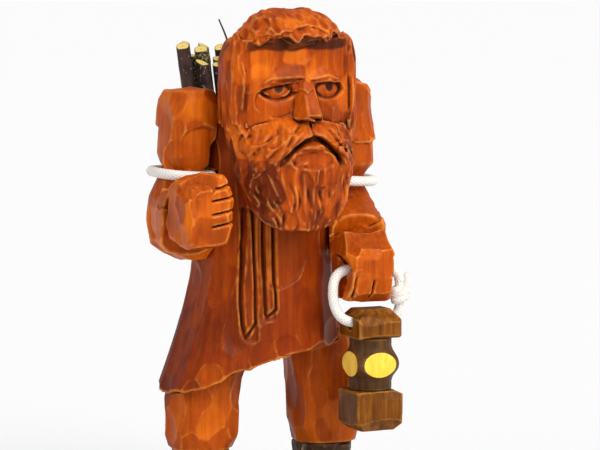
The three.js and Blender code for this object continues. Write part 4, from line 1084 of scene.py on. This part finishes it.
def braided(path, radius, strands=8, lay=3.1, sides=40):
    """A braided cord along a path: its tube and how deep each point lies between the strands."""
    run = np.concatenate([[0], np.cumsum(np.linalg.norm(np.diff(path, axis=0), axis=1))])[:, None]
    turn = np.arange(sides)[None] / sides
    left, right = turn * strands + run / lay, turn * strands - run / lay

    def rise(own, other, sign):
        number = np.floor(own)
        over = sign * np.cos(np.pi * (other - 0.5)) * np.where(number % 2, -1, 1)
        return np.sqrt(1 - 3.4 * (own - number - 0.5) ** 2) * (0.58 + 0.42 * over)

    height = np.maximum(rise(left, right, 1), rise(right, left, -1))
    ends = np.minimum(run, run[-1] - run)
    rounded = np.sqrt(np.clip(1 - (1 - np.minimum(ends / END_ROUNDING, 1)) ** 2, 0.02, 1))
    points, faces = rings(path, (radius - STRAND_RISE + STRAND_RISE * height) * rounded)
    return points, faces, np.concatenate([1 - height.ravel(), [0, 0]])


def cord_object(name, *tubes):
    """One object from one or more braided tubes."""
    starts = np.concatenate([[0], np.cumsum([len(tube[0]) for tube in tubes])])
    return mesh_object(
        name,
        np.vstack([tube[0] for tube in tubes]) / 1000,
        np.vstack([tube[1] + start for tube, start in zip(tubes, starts)]),
        gap=np.concatenate([tube[2] for tube in tubes]),
    )


def wrapped_knot(name, start, end, out, tail):
    """Turns of cord wrapped round the cord itself from start to end, with a short tail."""
    start, end = np.array(start, float), np.array(end, float)
    axis = (end - start) / np.linalg.norm(end - start)
    out = np.array(out, float)
    aside = np.cross(axis, out)
    turns = np.linspace(0, 1, 40)
    angle = turns * 2 * np.pi * KNOT_TURNS
    lengthways = (turns - 0.5) * KNOT_LENGTH + 1.1 * np.sin(angle)
    reach = KNOT_REACH * np.clip(np.minimum(turns, 1 - turns) * 16, 0.35, 1)
    middle = (start + end) / 2
    round_it = out * np.cos(angle)[:, None] + aside * np.sin(angle)[:, None]
    wrap = middle + axis * lengthways[:, None] + round_it * reach[:, None]
    core = [start - axis * 1.5, middle, end + axis * 1.5]
    runs = ((wrap, 2.75), (core, CORD_RADIUS - 0.2), (tail, 2.6))
    return cord_object(name, *(braided(along_route(run, CORD_STEP), radius) for run, radius in runs))


COTTON, shader, start = finish("cotton_cord")
gap = start.attribute("gap")
fibres = start.noise(1500, detail=3)
soil = start.noise(55, detail=4)
colour = (soil.between(0.42, 0.8) * 0.5).mixed((0.86, 0.84, 0.79), (0.68, 0.61, 0.5))
# Painted shade: the cord is darkened towards brown between its strands.
colour = gap.between(0.25, 0.85).mixed(colour, (0.4, 0.31, 0.22))
bump = start.add("Bump", None, {"Strength": 0.35, "Distance": 0.0003, "Height": fibres})
feed(shader, Base_Color=colour, Normal=bump)
shader.inputs["Roughness"].default_value = 0.9
shader.inputs["Specular IOR Level"].default_value = 0.15
shader.inputs["Sheen Weight"].default_value = 0.2

strap_path = along_route([(px, py, STRAP_HEIGHT + STRAP_SLOPE * px) for px, py in STRAP], CORD_STEP)
strap = cord_object("strap", braided(strap_path, CORD_RADIUS))
stand_in(strap, "strap_cord", "figure", "cotton_cord", COTTON)
strap_knot = wrapped_knot(
    "strap_knot_turns",
    strap_path[0],
    strap_path[-1],
    (0, 1, 0),
    [(1, 85, 243), (-2, 88, 238), (-3, 88, 231), (-2.5, 86.5, 225)],
)
stand_in(strap_knot, "strap_knot", "figure", "cotton_cord", COTTON)


# Twigs
# Eighteen cut twigs with their bark on, tied upright on the back by the strap.
# Their cut ends are pale, and they give way a little where the strap crosses them.
BARK, shader, start = finish("twig_bark")
cut_end = start.attribute("cut_end")
kind = start.attribute("kind")
ring_place = start.attribute("ring_place")
furrow = start.noise(420, (1, 1, 0.12), detail=5)
patch = start.noise(90, detail=4)
spots = start.noise(520, (1, 1, 0.7), detail=1)
bark = patch.between(0.35, 0.7).mixed((0.021, 0.008, 0.007), (0.055, 0.024, 0.02))
bark = (furrow.between(0.5, 0.75) * 0.6).mixed(bark, (0.09, 0.05, 0.042))
bark = (spots.between(0.66, 0.72) * 0.8).mixed(bark, (0.34, 0.27, 0.2))
lichen = start.noise(700, detail=2).between(0.5, 0.62) * kind.between(0.72, 0.8)
bark = lichen.mixed(bark, (0.3, 0.27, 0.07))
rings_seen = start.maths("SINE", ring_place * 26 + patch * 5)
heart = rings_seen.between(-0.6, 0.9).mixed((0.62, 0.4, 0.09), (0.86, 0.7, 0.26))
heart = (1 - ring_place.between(0.05, 0.2)).mixed(heart, (0.4, 0.2, 0.05))
heart = ring_place.between(0.86, 0.97).mixed(heart, (0.2, 0.1, 0.03))
bump = start.add("Bump", None, {"Strength": 0.5, "Distance": 0.0006, "Height": furrow + spots * 0.5})
feed(shader, Base_Color=cut_end.between(0.4, 0.6).mixed(bark, heart), Normal=bump)
shader.inputs["Roughness"].default_value = 0.72
shader.inputs["Specular IOR Level"].default_value = 0.3

TWIGS = 18
TWIG_SIDES = 24
TWIG_LEVELS = 84
END_DEPTH = 10
CAP_RINGS = (0.97, 0.75, 0.5, 0.25)
KNOBS = 3
KNOB_LENGTH = 0.018
KNOB_HEIGHT = 0.09
STRAP_ROOM = 3.7
STRAP_SKIP = 6
behind = strap_path[strap_path[:, 1] > 20]


def ends_of(node):
    """A CAD twig's lower and upper end: their middles, their radii and the slants of their cuts."""
    corners = np.array([vertex.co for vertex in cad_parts[node].data.vertices]) * 1000
    height = corners[:, 2]
    rims = corners[height < height.min() + END_DEPTH], corners[height > height.max() - END_DEPTH]
    rests = [rim - rim.mean(axis=0) for rim in rims]
    radii = [np.linalg.norm(rest[:, :2], axis=1).mean() for rest in rests]
    slants = [np.linalg.lstsq(rest[:, :2], rest[:, 2], rcond=None)[0] for rest in rests]
    return [rim.mean(axis=0) for rim in rims], radii, slants


def bowed_path(ends, radius, way, chance):
    """Points from one end to the other, a little bowed to one side."""
    share = np.linspace(0, 1, TWIG_LEVELS)[:, None]
    bow = 0.05 * radius * np.sin(share * np.pi * chance.uniform(1, 2.2) + chance.uniform(0, 6))
    return ends[0] + (ends[1] - ends[0]) * share + bow * np.array([math.cos(way), math.sin(way), 0])


def rippled(thick, chance):
    """Radii along and round a twig that tapers, with ripples and knobs."""
    share = np.linspace(0, 1, TWIG_LEVELS)[:, None]
    turn = np.arange(TWIG_SIDES)[None] * 2 * np.pi / TWIG_SIDES
    ripple = 0
    for waves in (2, 3, 5, 7):
        strength = chance.uniform(0.3, 1)
        spin = waves * turn + share * chance.uniform(-9, 9) + chance.uniform(0, 6)
        ripple = ripple + strength * np.cos(spin)
    radii = (thick[0] + (thick[1] - thick[0]) * share + 0 * turn) * (0.965 + 0.014 * ripple)
    for _ in range(KNOBS):
        knob, side = chance.uniform(0.1, 0.97), chance.uniform(0, 6.28)
        bud = 0.35 + 0.65 * np.exp(-4 * (1 - np.cos(turn - side)))
        radii = radii + KNOB_HEIGHT * thick[0] * (np.exp(-(((share - knob) / KNOB_LENGTH) ** 2)) * bud)
    return radii


def give_way(points):
    """Moves the points that lie in the strap out of it."""
    steps = behind[None, ::STRAP_SKIP]
    nearest = np.linalg.norm(points[:, None] - steps, axis=2).argmin(axis=1) * STRAP_SKIP
    away = points - behind[nearest]
    distance = np.linalg.norm(away, axis=1)
    pressed = distance < STRAP_ROOM
    points[pressed] += (away / distance[:, None] * (STRAP_ROOM - distance)[:, None])[pressed]


def with_cut_ends(points, faces):
    """Closes both ends, and gives for each point if it is on an end and its share of the radius."""
    is_end = np.zeros(len(points))
    place = np.ones(len(points))
    for end, way in ((0, -1), (TWIG_LEVELS - 1, 1)):
        rim = np.arange(TWIG_SIDES) + end * TWIG_SIDES
        middle = points[rim].mean(axis=0)
        inner = [middle + (points[rim] - middle) * scale for scale in CAP_RINGS]
        first = len(points)
        loops = [rim] + [first + n * TWIG_SIDES + np.arange(TWIG_SIDES) for n in range(len(CAP_RINGS))]
        points = np.vstack([points] + inner + [middle])
        is_end = np.concatenate([is_end, np.ones(len(CAP_RINGS) * TWIG_SIDES + 1)])
        place = np.concatenate([place, np.repeat(CAP_RINGS, TWIG_SIDES), [0]])
        for outer, within in zip(loops[:-1], loops[1:]):
            quad = np.stack([outer, np.roll(outer, -1), np.roll(within, -1), within], axis=1)
            faces = np.vstack([faces, quad[:, ::way]])
        faces = np.vstack([faces, fan(loops[-1], len(points) - 1)[:, ::way]])
    return points, faces, dict(cut_end=is_end, ring_place=place)


for number in range(1, TWIGS + 1):
    chance = np.random.default_rng(100 + number)
    node = f"twig_{number:02d}"
    ends, thick, slants = ends_of(node)
    path = bowed_path(ends, thick[0], number, chance)
    points, faces = rings(path, rippled(thick, chance))
    points = points[:-2]
    faces = faces[: (TWIG_LEVELS - 1) * TWIG_SIDES]
    for end, slant in zip((0, -1), slants):
        rim = points.reshape(TWIG_LEVELS, TWIG_SIDES, 3)[end]
        rim[:, 2] = path[end, 2] + (rim[:, :2] - path[end, :2]) @ slant
    give_way(points)
    points, faces, values = with_cut_ends(points, faces)
    values["kind"] = np.full(len(points), chance.random())
    twig = mesh_object(f"{node}_bark", points / 1000, faces, **values)
    stand_in(twig, node, "figure", "twig_bark", BARK)

# One twig keeps a thin shoot.
SHOOT = [(2.8, 51.7, 315), (-2.1, 51.7, 332.3), (-7.9, 51.7, 345.6)]
SHOOT_STEP = 1.5
SHOOT_RADII = (0.9, 0.5)
SHOOT_SIDES = 10
path = along_route(SHOOT, SHOOT_STEP)
points, faces = rings(path, np.linspace(*SHOOT_RADII, len(path))[:, None] + np.zeros((1, SHOOT_SIDES)))
shoot = mesh_object("twig_shoot", points / 1000, faces)
shoot.data.materials.append(BARK)
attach(shoot, "figure")

# Lantern
# Three blocks on a dowel: a square base and cap with cut edges, and a round light with four flats.
# The wood is stained dark brown, and the flats are painted yellow for the panes.
LANTERN_STAIN = stained_wood(
    "lantern_stain",
    deep=(0.07, 0.02, 0.002),
    middle=(0.16, 0.048, 0.004),
    light=(0.34, 0.11, 0.008),
    worn=(0.55, 0.26, 0.05),
    sunk=(0.015, 0.007, 0.003),
    streak=0.5,
)
LIGHT_STAIN = stained_wood(
    "light_stain",
    deep=(0.03, 0.014, 0.006),
    middle=(0.08, 0.035, 0.012),
    light=(0.16, 0.07, 0.025),
    worn=(0.3, 0.15, 0.05),
    sunk=(0.012, 0.006, 0.003),
    streak=0.4,
)
tree = LIGHT_STAIN.node_tree
shader = tree.nodes["Principled BSDF"]
start = Value(tree)
wood = Value(tree, shader.inputs["Base Color"].links[0].from_socket)
brushed = start.noise(180, (1, 1, 0.4), detail=3)
paint = brushed.between(0.3, 0.7).mixed((0.9, 0.5, 0.035), (0.97, 0.67, 0.09))
edge = start.attribute("pane") + (start.noise(700, detail=2) - 0.5) * 0.35
feed(shader, Base_Color=edge.between(0.42, 0.58).mixed(wood, paint))
PANE = 11.5, 8.2
PANE_OUT = 14.2
light_middle = np.array([sum(ends) * 500 for ends in zip(*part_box("lantern_light"))])


def pane(points):
    away = np.abs(points - light_middle)
    across = away[:, :2].min(axis=1)
    on_flat = np.clip((away[:, :2].max(axis=1) - PANE_OUT) / 0.5, 0, 1)
    oval = (1 - np.hypot(across / PANE[0], away[:, 2] / PANE[1])) * PANE[1]
    return on_flat * np.clip(oval / 0.8 + 0.5, 0, 1)


for node, seed, spacing, depth in (("lantern_base", 81, 15, 1.1), ("lantern_cap", 82, 14, 1.0)):
    cuts = dict(spacing=spacing, size=(34, 30), depth=depth, along=(0, 0, 1), tilt=0.05)
    scooped_block(node, f"{node}_block", seed, 0.55, ("lantern_wood", LANTERN_STAIN), cuts, body="lantern")
chance = np.random.default_rng(83)
light = Block("lantern_light", 0.5)
light.soften()
shown = light.piece("lantern_light_block", chance, pane=pane)
stand_in(shown, "lantern_light", "lantern", "lantern_paint", LIGHT_STAIN)

# Lantern cord
# The same braided cord, through the fist and the lantern's cap, with its ends knotted on the outside.
# It swings in the fist, and the lantern swings on it.
CORD_Y = -57.0
LANTERN_CORD = [
    (73.1, 176.5), (72.7, 180), (70.9, 183.6), (67.6, 186.1), (63.1, 187), (55, 187), (40, 187),
    (34.3, 186.7), (29.3, 184.8), (26.1, 181), (24.9, 175.5), (24.9, 169.1), (26.1, 163.5), (28.7, 158.3),
    (32.5, 154.6), (37.2, 152.6), (42.7, 152.1), (60.1, 152.1), (65.1, 152.6), (69.7, 154.7),
    (72.5, 158.5), (73.1, 162.5),
]
cord_path = along_route([(px, CORD_Y, pz) for px, pz in LANTERN_CORD], CORD_STEP)
lantern_cord = cord_object("lantern_cord_braid", braided(cord_path, CORD_RADIUS))
stand_in(lantern_cord, "lantern_cord", "lantern_cord", "cotton_cord", COTTON)
cord_knot = wrapped_knot(
    "lantern_cord_turns",
    cord_path[0],
    cord_path[-1],
    (0, -1, 0),
    [(74.5, CORD_Y - 1, 171), (77, CORD_Y - 2, 175), (78, CORD_Y - 1.5, 179.5), (77.6, CORD_Y, 183)],
)
stand_in(cord_knot, "lantern_cord_knot", "lantern_cord", "cotton_cord", COTTON)

# Dowels
# Round dowels of plain, pale wood that hold the blocks together.
# They are glued into bores and keep their CAD shape.
DOWEL_WOOD, shader, start = finish("dowel_wood")
grain = start.noise(500, (1, 1, 0.05), detail=4)
feed(shader, Base_Color=grain.mixed((0.5, 0.3, 0.13), (0.72, 0.5, 0.27)))
shader.inputs["Roughness"].default_value = 0.6
for name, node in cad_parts.items():
    if name.endswith("_dowel"):
        node.data.materials.clear()
        node.data.materials.append(DOWEL_WOOD)

# Camera
# The photo's view, from the figure's right and a little above, with a long lens.
AZIMUTH = math.radians(-25)
ELEVATION = math.radians(6)
DISTANCE = 3.2
VIEW_WIDTH = 0.396
TARGET = Vector((0.0227, -0.0106, 0.2124))
lens = bpy.data.cameras.new("camera")
lens.sensor_width = 36
lens.lens = lens.sensor_width * DISTANCE / VIEW_WIDTH
camera = bpy.data.objects.new("camera", lens)
bpy.context.scene.collection.objects.link(camera)


def direction(azimuth, elevation):
    """From the object towards a place round it, with azimuth 0 in front."""
    flat = math.cos(elevation)
    return Vector((math.sin(azimuth) * flat, -math.cos(azimuth) * flat, math.sin(elevation)))


towards = direction(AZIMUTH, ELEVATION)
camera.location = TARGET + towards * DISTANCE
camera.rotation_euler = (-towards).to_track_quat("-Z", "Y").to_euler()
bpy.context.scene.camera = camera

# Floor and light
# A pale floor, a broad key light from the front and above, a weak one from the figure's right
# and a pale sky.
FLOOR_SIZE = 40.0
corners = np.array([(-1, -1, 0), (1, -1, 0), (1, 1, 0), (-1, 1, 0)]) * FLOOR_SIZE / 2
floor = mesh_object("floor", corners, np.array([[0, 1, 2, 3]]))
pale, shader, _ = finish("pale_floor")
shader.inputs["Base Color"].default_value = (0.93, 0.93, 0.93, 1)
shader.inputs["Roughness"].default_value = 0.9
floor.data.materials.append(pale)


def broad_light(name, azimuth, elevation, spread, strength):
    lamp = bpy.data.lights.new(name, "SUN")
    lamp.angle = math.radians(spread)
    lamp.energy = strength
    shown = bpy.data.objects.new(name, lamp)
    towards = direction(math.radians(azimuth), math.radians(elevation))
    shown.rotation_euler = (-towards).to_track_quat("-Z", "Y").to_euler()
    bpy.context.scene.collection.objects.link(shown)


broad_light("key", azimuth=14, elevation=40, spread=50, strength=2.9)
broad_light("fill", azimuth=-70, elevation=40, spread=60, strength=0.6)
sky = bpy.data.worlds.new("sky")
sky.use_nodes = True
sky.node_tree.nodes["Background"].inputs["Color"].default_value = (1, 1, 1, 1)
sky.node_tree.nodes["Background"].inputs["Strength"].default_value = 0.36
bpy.context.scene.world = sky
bpy.context.scene.view_settings.view_transform = "Standard"
